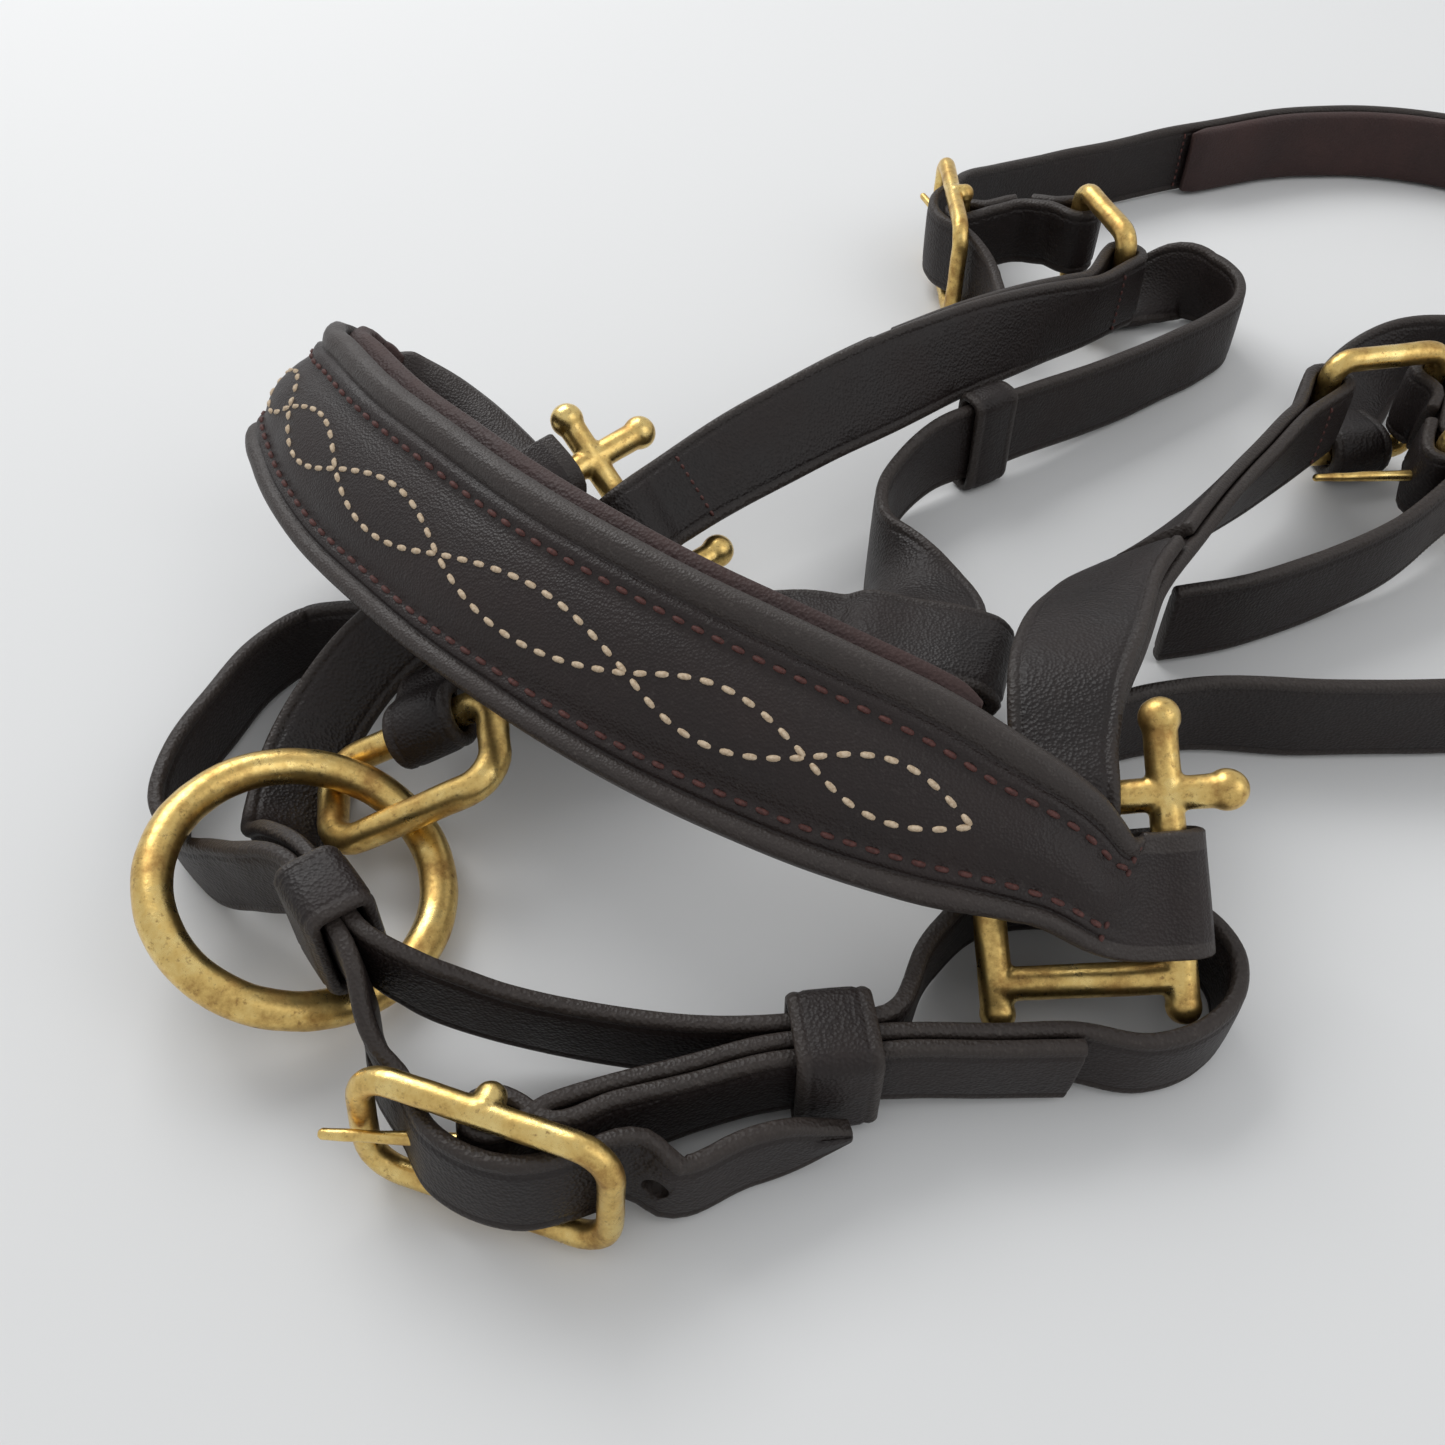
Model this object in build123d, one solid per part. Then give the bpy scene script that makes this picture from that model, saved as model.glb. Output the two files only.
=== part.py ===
from build123d import *
import math
import os

# Leather headcollar lying folded on a table. Millimetres, +Z up, table top at z = 0.
# A strap is a row of stations (x, y, z, heading, lean[, width]): the middle of the leather, and the
# direction of its width, tipped by `lean` degrees from upright towards `heading` degrees.

os.makedirs("parts", exist_ok=True)

LEATHER = 3.0            # one layer of strap leather
PLY_GAP = 0.2            # air between two layers that lie on each other
BAR_GAP = 0.35           # air between a fold and the bar it goes round
STEP = 3.5               # spacing of the sections along a strap
SEGMENT = 5              # sections spanned by one face
SLOT = 5.6               # slots that buckle tongues pass through

CHIN_WIDTH = 17.0
THROAT_WIDTH = 21.0
CROWN_WIDTH = 21.0
CHEEK_WIDTH = 24.0
CHEEK_TOP_WIDTH = 20.0
CHEEK_FOLD_WIDTH = 18.6
CHEEK_SHIFT = 1.6       # the cheekpiece sits off the middle of its bar, clear of the noseband
JOWL_WIDTH = 22.0
THROAT_EYE_WIDTH = 15.0
CHAPE_WIDTH = 18.5
NOSEBAND_END_WIDTH = 22.0
NOSEBAND_DROP = 1.2      # the noseband's ends sit this far below the middle of their bars
NOSEBAND_WIDTH = 42.0

SQUARE_PITCH = 31.0      # between opposite bars of a stop square
SQUARE_BAR = 6.0
HORN_UP = 13.0
HORN_SIDE = 10.0
HORN_END = 7.4

RING_BAR = 7.0
RING_RADIUS = 25.0
LINK_BAR = 6.2
LINK_LENGTH = 36.0       # centre to centre of the long way
LINK_WIDTH = 20.4
LINK_CORNER = 6.5

BUCKLE_BAR = 4.6
BUCKLE_LENGTH = 47.0
BUCKLE_BACK = 3.2        # the middle bar sits this far behind the frame
PIN_BAR = 4.0
TONGUE = 2.8
SHANK_SLOPE = 0.33       # rise of a resting tongue
HALF_LENGTH = 27.0
HOLE = 4.6
HOLE_PITCH = 21.7

UPPER_BAR = 5.5
UPPER_PITCH = 27.5       # upper rings, bar to bar
UPPER_CORNER = 4.4

# the layout is written from the near left of the table; the part's own origin is the middle of its footprint
FOOT = Vector(86.74, 264.73, 0.03)


# ---------------------------------------------------------------- strap geometry
def lean_dir(heading, lean):
    """Unit vector tipped by `lean` from upright towards `heading`."""
    h, a = math.radians(heading), math.radians(lean)
    return Vector(math.sin(a) * math.cos(h), math.sin(a) * math.sin(h), math.cos(a))


def angles(direction):
    """Heading and lean of a direction."""
    d = Vector(*direction).normalized()
    return math.degrees(math.atan2(d.Y, d.X)), math.degrees(math.acos(d.Z))


def smooth(rows, step=STEP):
    """Rows blended by cubics that pass through every station."""
    gaps = [math.dist(a[:3], b[:3]) for a, b in zip(rows, rows[1:])]

    def slope(i):
        if i == 0:
            return [(b - a) / gaps[0] for a, b in zip(rows[0], rows[1])]
        if i == len(rows) - 1:
            return [(b - a) / gaps[-1] for a, b in zip(rows[-2], rows[-1])]
        before, after = gaps[i - 1], gaps[i]
        return [((b - a) / before * after + (c - b) / after * before) / (before + after)
                for a, b, c in zip(rows[i - 1], rows[i], rows[i + 1])]

    out = []
    for i, gap in enumerate(gaps):
        count = max(1, round(gap / step))
        here, there = slope(i), slope(i + 1)
        for j in range(count):
            t = j / count
            c0, c1 = 2 * t**3 - 3 * t**2 + 1, t**3 - 2 * t**2 + t
            c2, c3 = 3 * t**2 - 2 * t**3, t**3 - t**2
            out.append(tuple(c0 * a + c1 * gap * p + c2 * b + c3 * gap * q
                             for a, b, p, q in zip(rows[i], rows[i + 1], here, there)))
    out.append(tuple(rows[-1]))
    return out


def frames(path):
    """A plane per station: x along the width, y through the leather, z along the strap."""
    out = []
    for i, row in enumerate(path):
        a, b = path[max(i - 1, 0)], path[min(i + 1, len(path) - 1)]
        ahead = (Vector(*b[:3]) - Vector(*a[:3])).normalized()
        wide = lean_dir(row[3], row[4])
        wide = (wide - ahead * wide.dot(ahead)).normalized()
        out.append(Plane(origin=row[:3], x_dir=wide, z_dir=ahead))
    return out


def grounded(path, thick=LEATHER):
    """The path lifted where an edge of the leather would sink below the table."""
    out = []
    for row, plane in zip(path, frames(path)):
        reach = abs(plane.x_dir.Z) * row[5] / 2 + abs(plane.y_dir.Z) * thick / 2
        out.append((*row[:2], max(row[2], reach + 0.5), *row[3:]))
    return out


def shifted(path, off):
    """The same strap moved by `off` through its own thickness."""
    out = []
    for row, plane in zip(path, frames(path)):
        p = plane.origin + plane.y_dir * off
        out.append((p.X, p.Y, p.Z, *row[3:]))
    return out


def heading(line, i):
    """Direction of a line of points at one of them."""
    if i == 0:
        step = line[1] * 4 - line[0] * 3 - line[2]
    elif i == len(line) - 1:
        step = line[i] * 3 - line[i - 1] * 4 + line[i - 2]
    else:
        before, after = (line[i] - line[i - 1]).length, (line[i + 1] - line[i]).length
        step = (line[i] - line[i - 1]) * (after / before) + (line[i + 1] - line[i]) * (before / after)
    return step.normalized()


def ribbon(path, thick, off=0.0, inset=0.0, span=(0, None), slots=()):
    """Leather of one thickness along a path, made of long narrow faces between lines that follow it.

    `off` moves it through the thickness, `inset` narrows it at each edge, `span` takes part of the path,
    and `slots` are pairs of stations between which a slot SLOT wide runs along its middle.
    """
    part = slice(*span)
    planes, rows = frames(path)[part], path[part]
    across = (1, -1) if not slots else (1, SLOT, -SLOT, -1)
    ring = [(x, 1) for x in across] + [(x, -1) for x in reversed(across)]
    lines = [[] for _ in ring]
    spots = [0.0]
    for a, b in zip(rows, rows[1:]):
        spots.append(spots[-1] + math.dist(a[:3], b[:3]))
    for row, plane in zip(rows, planes):
        wide = row[5] / 2 - inset
        for line, (x, y) in zip(lines, ring):
            x = x * wide if abs(x) == 1 else x / 2
            line.append(plane.origin + plane.x_dir * x + plane.y_dir * (off + y * thick / 2))
    cuts = sorted({*range(0, len(rows) - 1, SEGMENT), len(rows) - 1, *(i for pair in slots for i in pair)})
    faces = [Face(Wire.make_polygon([line[end] for line in lines])) for end in (0, -1)]
    for pair in slots:
        faces += [Face(Wire.make_polygon([lines[k][end] for k in (1, 2, 5, 6)])) for end in pair]
    for first, last in zip(cuts, cuts[1:]):
        edges = [Edge.make_spline(line[first:last + 1], tangents=[heading(line, first), heading(line, last)],
                                  parameters=spots[first:last + 1]) for line in lines]
        pairs = [(k, (k + 1) % len(edges)) for k in range(len(edges))]
        if any(a <= first < b for a, b in slots):
            pairs = [p for p in pairs if p not in ((1, 2), (5, 6))] + [(1, 6), (2, 5)]
        faces += [Face.make_surface_from_curves(edges[a], edges[b]) for a, b in pairs]
    body = Solid(Shell(faces))
    return body if body.volume > 0 else Solid(Shell([-face for face in faces]))


def tapered(path, length):
    """The path with its end narrowed to a rounded point."""
    end, out = path[-1], []
    for row in path:
        left = math.dist(row[:3], end[:3])
        share = 1 if left > length else 0.22 + 0.78 * math.sin(math.pi / 2 * left / length)
        out.append((*row[:5], row[5] * share))
    return out


def layered(path, first, last, thick, off, inset=0.0):
    """A layer beside a strap between two of its stations."""
    return ribbon(path, thick, off, inset, (path.index(tuple(first)), path.index(tuple(last)) + 1))


def stations_near(path, point, radius, after=0):
    """First and last station of the first run of a path that comes within `radius` of a point."""
    near = [i for i in range(after, len(path)) if (Vector(*path[i][:3]) - Vector(*point)).length < radius]
    run = [i for k, i in enumerate(near) if i - near[0] == k]
    return run[0] - 1, run[-1] + 1


def turn(centre, side, tip, radius, row, first=-20, last=200):
    """Stations of a fold round a bar: from `side` over `tip` to the other side."""
    c, out = Vector(*centre), []
    side = (side - tip * side.dot(tip)).normalized()
    count = round((last - first) / 22) + 1
    for k in range(count):
        a = math.radians(first + (last - first) * k / (count - 1))
        p = c + (side * math.cos(a) + tip * math.sin(a)) * radius
        out.append((p.X, p.Y, p.Z, *row[3:]))
    return out


def folded(core, ends, thick=LEATHER, step=STEP):
    """Path of a strip laid double along `core` and folded round a bar at each end.

    `ends` holds (bar, bar size, station) for the two bars; the strip's own ends meet in the back layer.
    """
    planes = frames(core)
    half = (thick + PLY_GAP) / 2
    front, back = shifted(core, half), shifted(core, -half)
    folds = []
    for (bar, size, station), plane, sign in zip(ends, (planes[0], planes[-1]), (-1, 1)):
        tip = (Vector(*bar) - plane.origin).normalized()
        folds.append(turn(bar, plane.y_dir * sign, tip, size / 2 + BAR_GAP + thick / 2, station))
    cut = len(core) // 2
    return smooth(back[:cut][::-1] + folds[0] + front + folds[1] + back[cut + 1:][::-1], step)


def punched(strap, path, spots, size=HOLE):
    """Round holes through a strap at distances back from the end of its path."""
    planes = frames(path)
    for spot in spots:
        run = 0
        for i in range(len(path) - 1, 0, -1):
            gap = math.dist(path[i][:3], path[i - 1][:3])
            if run + gap >= spot:
                part = (spot - run) / gap
                p = planes[i].origin * (1 - part) + planes[i - 1].origin * part
                hole = Plane(origin=p, x_dir=planes[i].x_dir, z_dir=planes[i].y_dir)
                strap = strap - hole * Cylinder(size / 2, 3 * LEATHER)
                break
            run += gap
    return strap


def rod(a, b, size):
    """Round bar between two points."""
    a, b = Vector(*a), Vector(*b)
    axis = Plane(origin=(a + b) / 2, z_dir=b - a)
    return axis * Cylinder(size / 2, (b - a).length)


def wire_loop(length, width, corner, size):
    """Rounded rectangular loop of round wire, in the XZ plane."""
    outline = RectangleRounded(length, width, corner)
    path = Plane.XZ * outline.wire()
    start = path.position_at(0)
    profile = Plane(origin=start, z_dir=path.tangent_at(0)) * Circle(size / 2)
    return sweep(profile, path=path)


def keeper(plane, thick, wide, length=14.0, leather=2.4):
    """Leather loop round a strap: `plane` has x through the strap, y along its width, z along it."""
    hole = RectangleRounded(thick, wide, 0.8)
    band = RectangleRounded(thick + 2 * leather, wide + 2 * leather, 3.4)
    return plane * extrude(band - hole, length / 2, both=True)


# ---------------------------------------------------------------- fittings
def stop_square(plane, foot=0.0):
    """Cast square with horns past the cheek bar; `foot` lets the side bars run on below."""
    half, r = SQUARE_PITCH / 2, SQUARE_BAR / 2
    body = None
    for side in (-half, half):
        upright = rod((side, -half - foot, 0), (side, half + HORN_UP, 0), SQUARE_BAR)
        body = upright if body is None else body + upright
        body += Pos(side, half + HORN_UP, 0) * Sphere(HORN_END / 2)
        body += Pos(side, -half - foot, 0) * Sphere(r + 0.2)
        across = half + HORN_SIDE if side > 0 else -half - HORN_SIDE
        body += Pos(across, half, 0) * Sphere(HORN_END / 2)
    body += rod((-half - HORN_SIDE, half, 0), (half + HORN_SIDE, half, 0), SQUARE_BAR)
    body += rod((-half, -half, 0), (half, -half, 0), SQUARE_BAR)
    return plane * body


def whole_buckle(plane, clear):
    """Frame with a middle bar set back; x towards the tongue's rest, y to the front, z along the bars."""
    tall = clear + BUCKLE_BAR
    body = wire_loop(BUCKLE_LENGTH - BUCKLE_BAR, tall, 6.0, BUCKLE_BAR)
    for end in (-tall / 2, tall / 2):
        body += rod((0, 0, end), (0, -BUCKLE_BACK, end), PIN_BAR + 1.2)
        body += Pos(0, -BUCKLE_BACK, end) * Sphere(PIN_BAR / 2 + 0.6)
    body += rod((0, -BUCKLE_BACK, -tall / 2), (0, -BUCKLE_BACK, tall / 2), PIN_BAR)
    return plane * body


def half_buckle(plane, clear):
    """Frame whose heel bar is its pin; x away from the pin, z along the bars."""
    tall = clear + BUCKLE_BAR
    loop = Pos(HALF_LENGTH / 2, 0, 0) * wire_loop(HALF_LENGTH, tall, 5.0, BUCKLE_BAR)
    cutter = Pos(0, 0, 0) * Box(2 * BUCKLE_BAR, 2 * BUCKLE_BAR, clear - 1.0)
    return plane * (loop - cutter + rod((0, 0, -clear / 2), (0, 0, clear / 2), PIN_BAR))


def tongue(plane, reach):
    """Buckle tongue from its eye on the middle bar to the front of the far bar, in the frame's plane."""
    pivot = Vector(0, -BUCKLE_BACK, 0)
    return plane * shank(pivot, pivot + Vector(reach, reach * SHANK_SLOPE, 0))


def loose_tongue(plane, reach):
    """Tongue hanging free from the heel bar."""
    return plane * shank(Vector(0, 0, 0), Vector(-reach * 0.97, reach * 0.16, -reach * 0.0))


def shank(pivot, tip):
    """Eye round a pin and a tapered shank to its tip."""
    bore = PIN_BAR + 0.12
    along = (tip - pivot).normalized()
    start = pivot + along * (bore / 2 + 0.8)
    thick_end = Plane(origin=start, z_dir=along) * Circle(TONGUE / 2)
    thin_end = Plane(origin=tip, z_dir=along) * Circle(TONGUE / 2 - 0.4)
    place = Pos(*pivot)
    body = loft([thick_end, thin_end]) + Pos(*tip) * Sphere(TONGUE / 2 - 0.4) + place * Cylinder(bore / 2 + 1.9, 4.0)
    return body - place * Cylinder(bore / 2, 6.0)


# ---------------------------------------------------------------- where the fittings lie
def tilted(origin, x_dir, up):
    """Plane with x along `x_dir` and its y as near `up` as it can be."""
    x = Vector(*x_dir).normalized()
    z = x.cross(Vector(*up)).normalized()
    return Plane(origin=origin, x_dir=x, z_dir=z)


RIGHT_SQUARE = tilted((61.3, 138.2, 23.4), (0.978, -0.068, 0.198), (-0.08, 0.75, 0.655))
LEFT_SQUARE = tilted((-31.2, 224.1, 24.4), (0.55, -0.57, -0.61), (0.755, 0.65, 0.07))
CHIN_BUCKLE = Plane(origin=(-37, 94.0, 14.4), x_dir=(-0.944, 0.33, 0), z_dir=(0.064, 0.183, 0.981))
CROWN_BUCKLE = Plane(origin=(65, 372, 16.0), x_dir=(0, 1, 0), z_dir=(0, 0, 1))
LEFT_UPPER = Plane(origin=(103.5, 352.5, 20.2), x_dir=(-0.25, 0.968, 0), z_dir=(0.968, 0.25, 0))
RIGHT_UPPER = Plane(origin=(158, 284, 20.2), x_dir=(0.98, 0.17, 0), z_dir=(0.17, -0.98, 0))
HALF_BUCKLE = Plane(origin=(167, 262, 16.1), x_dir=(0.98, 0.2, 0), z_dir=(0, 0, 1))
CHIN_RING = Plane(origin=(-76.5, 147, 13.4), z_dir=(0.37, -0.09, 1))
CHIN_LINK = tilted((-59.5, 171.3, 15.5), (0.9, 0.15, 0.41), (-0.17, 0.985, 0))
LEFT_KEEPER = Plane(origin=(-65, 131, 25.0), x_dir=(0.8, 0.6, 0), z_dir=(0.6, -0.8, 0))
RIGHT_KEEPER = Plane(origin=(18, 112.6, 11.8), x_dir=(-0.1, 0.995, 0), z_dir=(0.995, 0.1, 0))
THROAT_KEEPER = Plane(origin=(64, 280.5, 13.5), x_dir=(0.5, -0.866, 0), z_dir=(0.866, 0.5, 0))


def at(plane, x, y, z):
    """Table point of a point in a fitting's own plane."""
    return plane.from_local_coords(Vector(x, y, z))


def row(point, heading, lean, *more):
    """Station at a point."""
    return (point.X, point.Y, point.Z, heading, lean, *more)


def axis(plane, x, y, z):
    """Table direction of a direction in a fitting's own plane."""
    return (at(plane, x, y, z) - plane.origin).normalized()


# ---------------------------------------------------------------- noseband
BASE, PANEL, PAD, LINING = 2.4, 1.4, 2.4, 1.6      # layers of the noseband, front to back
CROWN_PAD = 2.0
LAYER_GAP = 0.6
NOSE = [
    (67.3, 132.7, 30.0, 96, 49, 22),
    (56.0, 136.4, 37.4, 78, 48, 28),
    (36, 143.5, 42.5, 64, 48, 37),
    (13, 153, 46.5, 58, 48, 41),
    (-11, 165, 50, 50, 48, NOSEBAND_WIDTH),
    (-34, 181, 52, 44, 48, NOSEBAND_WIDTH),
    (-57, 203, 52, 37, 48, NOSEBAND_WIDTH),
    (-76, 226, 50.5, 30, 48, 41),
    (-86, 243.5, 48.5, 26, 48, 39),
    (-90, 252, 47, 25, 48, 37),
    (-91.1, 258.4, 45.1, 25, 48, 36.5),
    (-88.4, 262.6, 40.4, 25, 48, 36),
    (-83.4, 262.4, 35.9, 25, 48, 35),
    (-76, 259.5, 33.0, 27, 48, 34),
    (-66, 254.5, 32.0, 32, 53, 31),
    (-56, 247.5, 32.0, 37, 65, 27),
]


def noseband_path():
    """Long strap folded round a bar of each stop square."""
    r = SQUARE_BAR / 2 + BAR_GAP + BASE / 2 + 0.15
    half = SQUARE_PITCH / 2
    ends = []
    for square, side, front in ((RIGHT_SQUARE, 1, 1), (LEFT_SQUARE, -1, -1)):
        bar = at(square, side * half, -NOSEBAND_DROP, 0)
        face, tip = axis(square, 0, 0, front), axis(square, 1, 0, 0)
        last = (0, 0, 0, *angles(axis(square, 0, 1, 0)), NOSEBAND_END_WIDTH)
        tail = [row(bar - face * 2.6 - tip * 8.0, *last[3:])]
        ends.append(turn(bar, face, tip, r, last, -8, 195) + tail)
    return smooth(ends[0][::-1] + NOSE + ends[1])


# ---------------------------------------------------------------- chin strap
def chin_path():
    """One strap: fold at the buckle, right square, keepers, left square, ring, billet."""
    half = (LEATHER + PLY_GAP) / 2
    up = 9.0
    pin = at(CHIN_BUCKLE, 0, -BUCKLE_BACK, 0)
    back = axis(CHIN_BUCKLE, 0, -1, 0)
    lean = angles(axis(CHIN_BUCKLE, 0, 0, 1))
    eye = turn(pin, back, axis(CHIN_BUCKLE, 1, 0, 0), PIN_BAR / 2 + BAR_GAP + LEATHER / 2, (0, 0, 0, *lean), -5, 200)

    # doubled leg: (x, y, z) of the middle between its two layers
    leg = [(-27, 97.6, 13.4), (-18, 101.4, 12.4), (-5, 106.2, 11.8), (6, 109.4, 11.8),
           (18, 111.1, 11.8), (30, 112.2, 11.6), (46, 113.0, 10.2), (58, 113.6, 9.4)]
    leg = [(*p, 71, 8 if p[0] < -15 else 0) for p in leg]
    inner, outer = shifted(leg, half), shifted(leg, -half)
    bend = [(70, 113.2, up), (80, 116.2, up), (86.6, 122.5, up), (88.4, 130, up), (85.5, 137, up),
            (77, 143, up), (62, 146, up), (47, 144, up), (36, 133, 10.0)]
    second = at(RIGHT_KEEPER, 3.4, 0, 0)
    run = [(second.X + 9, second.Y + 0.9, second.Z), (second.X, second.Y, second.Z),
           (second.X - 9, second.Y - 0.9, second.Z), (-4, 115.6, 10.6), (-22, 117.5, 11.5), (-40, 119.4, 16.5),
           (-52, 121.8, 22.5)]
    step = axis(LEFT_KEEPER, 0, 0, 1) * 9
    inside, outside = at(LEFT_KEEPER, half, 0, 0), at(LEFT_KEEPER, -half, 0, 0)
    first = [inside + step, inside, inside - step]
    rise = [row(p, 150, 0) for p in first] + [
        (-76.5, 148.0, 19.5, 155, 30), (-82, 156, 11.0, 165, 52), (-84.5, 165, 6.2, 172, 60),
        (-84.5, 176, 6.6, 168, 61), (-80.5, 190, 10.5, 152, 54), (-72, 199.5, 17.5, 140, 50), (-62, 204.5, 24, 136, 50)]
    bar = at(LEFT_SQUARE, 0, -SQUARE_PITCH / 2, 0)
    face, tip = axis(LEFT_SQUARE, 0, 0, 1), axis(LEFT_SQUARE, 0, 1, 0)
    tilt = angles(axis(LEFT_SQUARE, -1, 0, 0))
    fold = turn(bar, face, tip, SQUARE_BAR / 2 + BAR_GAP + LEATHER / 2, (0, 0, 0, *tilt), 8, 172)
    down = [(-56, 210.0, 18.6, 134, 50), (-67, 208, 15.5, 134, 42), (-78, 213, 11.5, 140, 18), (-88, 214.5, up, 150, 2),
            (-97, 206, up, 150, 0), (-103, 191, up, 150, 0), (-107.2, 176, up, 150, 0), (-106.0, 164, up, 150, 8),
            (-97.5, 153.3, 9.4, 150, 22), (-86, 146.0, 16.5, 150, 12)]
    pass_by = [row(p, 150, 0) for p in (outside - step, outside, outside + step)]
    billet = [row(at(CHIN_BUCKLE, x, y, 0) + Vector(0, 0, z), *lean) for x, y, z in (
        (20, -6.5, 2.4), (14.5, -2.8, 0.2), (8, 2.4, 0), (0, 4.6, 0), (-8, 3.6, 0), (-15, -1.3, 0),
        (-22, -7.2, -0.2))]
    tip_end = [(-8, 91.4, 10.0, 71, 4), (4, 96.4, 9.2, 71, 0), (17, 100.4, 9.0, 71, 0), (20, 101.2, 9.0, 71, 0)]
    flat = [(*p, 71, 0) if len(p) == 3 else p for p in bend + run]
    rows = inner[::-1] + eye + outer + flat + rise + fold + down + pass_by + billet + tip_end
    path = smooth([(*r[:5], CHIN_WIDTH) for r in rows])
    return grounded(tapered(path, 14))


# ---------------------------------------------------------------- other straps
def cheekpieces():
    """Doubled straps from the stop squares to the upper rings."""
    half = SQUARE_PITCH / 2
    right = [(58.6, 157.5, 39.0, -4, 80), (60.4, 168, 42.0, -8, 82), (66, 182, 40.5, -18, 76),
             (76, 202, 34.0, -30, 58), (92, 222, 28.0, -38, 36), (112, 245, 23.0, -43, 16), (134, 268, 20.6, -45, 0)]
    left = [(-13.4, 237.4, 26.4, 132, 51), (4, 251.5, 29.0, 130, 47), (34, 275, 30.4, 129, 38),
            (66, 300, 28.4, 128, 22), (94, 324, 21.6, 128, 0)]
    out = {}
    for name, rows, square, ring, side in (("right", right, RIGHT_SQUARE, RIGHT_UPPER, -1),
                                           ("left", left, LEFT_SQUARE, LEFT_UPPER, 1)):
        count = len(rows) - 1
        wide = [CHEEK_FOLD_WIDTH] + [CHEEK_WIDTH + (CHEEK_TOP_WIDTH - CHEEK_WIDTH) * i / count
                                     for i in range(1, count + 1)]
        wide[1] = (wide[0] + wide[2]) / 2
        core = smooth([(*r, w) for r, w in zip(rows, wide)])
        along = angles(axis(square, -side, 0, 0))
        low = at(square, side * CHEEK_SHIFT, half, 0), SQUARE_BAR + 0.5, (0, 0, 0, *along, CHEEK_FOLD_WIDTH)
        top = at(ring, -UPPER_PITCH / 2, 0, 0), UPPER_BAR, core[-1]
        out[name + "_cheekpiece"] = ribbon(folded(core, (low, top)), LEATHER)
    return out


def jowl_strap():
    """From the link, twisting on to its edge, to the flat loop that carries the throatlatch."""
    bar = at(CHIN_LINK, 4.6, LINK_WIDTH / 2, 0)
    along = angles(axis(CHIN_LINK, 1, 0, 0))
    rows = [row(bar + Vector(-0.5, 6.4, 1.4), *along, 14.5), row(bar + Vector(0.2, 9.2, 2.2), 0, 58, 14.5),
            (-52.6, 193.6, 18.6, -30, 42, 16), (-46.5, 195.0, 17.2, -30, 16, 18.5), (-38, 196, 15.2, 0, 2, 20.5),
            (-29, 197, 13.7, 40, 0, JOWL_WIDTH), (-17, 198.5, 13.5, 95, 6, JOWL_WIDTH),
            (-4, 201.5, 15.5, 92, 30, JOWL_WIDTH), (6, 203.2, 18.0, 85, 60, JOWL_WIDTH),
            (15, 204.2, 20.0, 76, 86, JOWL_WIDTH), (23, 202.6, 20.6, 74.6, 90, JOWL_WIDTH)]
    core = smooth(rows)
    start, end = core[0], frames(core)[-1]
    ahead = Vector(0.964, -0.266, 0)
    # pocket: the layers part for the throatlatch and meet past it
    pocket = []
    for run, lift in ((4.5, 4.0), (14, 4.0), (27, 4.0), (32, 2.7), (33.8, 0), (32, -2.7), (27, -4.0),
                      (14, -4.0), (4.5, -4.0)):
        pocket.append(row(end.origin + ahead * run + end.y_dir * lift, 74.6, 90, JOWL_WIDTH))
    half = (LEATHER + PLY_GAP) / 2
    front, back = shifted(core, half), shifted(core, -half)
    first = frames(core)[0]
    fold = turn(bar, -first.y_dir, (bar - first.origin).normalized(), LINK_BAR / 2 + BAR_GAP + LEATHER / 2 + 0.3, start)
    cut = len(core) // 2
    return ribbon(smooth(back[:cut][::-1] + fold + front + pocket + back[cut + 1:][::-1]), LEATHER)


THROAT = [
    (119.5, 357.4, 4.6, 104, 62), (128.5, 357.6, 8.6, 95, 22), (136, 353, 11, 60, 0), (140, 343, 11, 20, 0),
    (137.5, 332, 11, -20, 0), (129, 323.5, 11, -45, 0), (115, 313, 11, -60, 0), (94, 298.6, 12, -60, 0),
    (76.5, 287.7, 13.4, -60, 0), (64, 280.5, 13.5, -60, 0), (51.5, 273.3, 13.4, -60, 0), (42.4, 264, 11.5, -40, 0),
    (36.5, 250.5, 11, -17, 0), (35.5, 238, 12, -17, 12), (38.5, 225, 16.5, -17, 54), (44.2, 211.5, 20.6, -17, 90),
    (40.8, 198.2, 20.6, -17, 90), (37.2, 183.8, 20.6, -17, 90), (35.4, 174.5, 17.2, -14, 58),
    (39.5, 166.5, 12.4, -5, 18), (48.5, 163.8, 11, 0, 0), (58, 167.5, 11, 0, 0), (67, 177, 11, -20, 0),
    (78, 186, 11, -60, 0), (92, 190, 11, -85, 0), (120, 189.4, 11, -90, 0), (150, 190, 11, -90, 0),
    (185, 193, 11, -85, 0), (208, 202, 10.8, -60, 8), (223, 219, 8.2, -35, 42), (231, 240, 3.8, -17, 79),
    (234, 262, 2.0, -6, 90), (233, 286, 2.0, 4, 90), (227, 303, 3.8, 30, 79), (213, 316, 8.6, 62, 34),
    (193, 320.5, 11, 95, 4), (175, 316.5, 9.2, 135, 32), (163.5, 305.5, 4.8, 168, 72),
]


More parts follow.
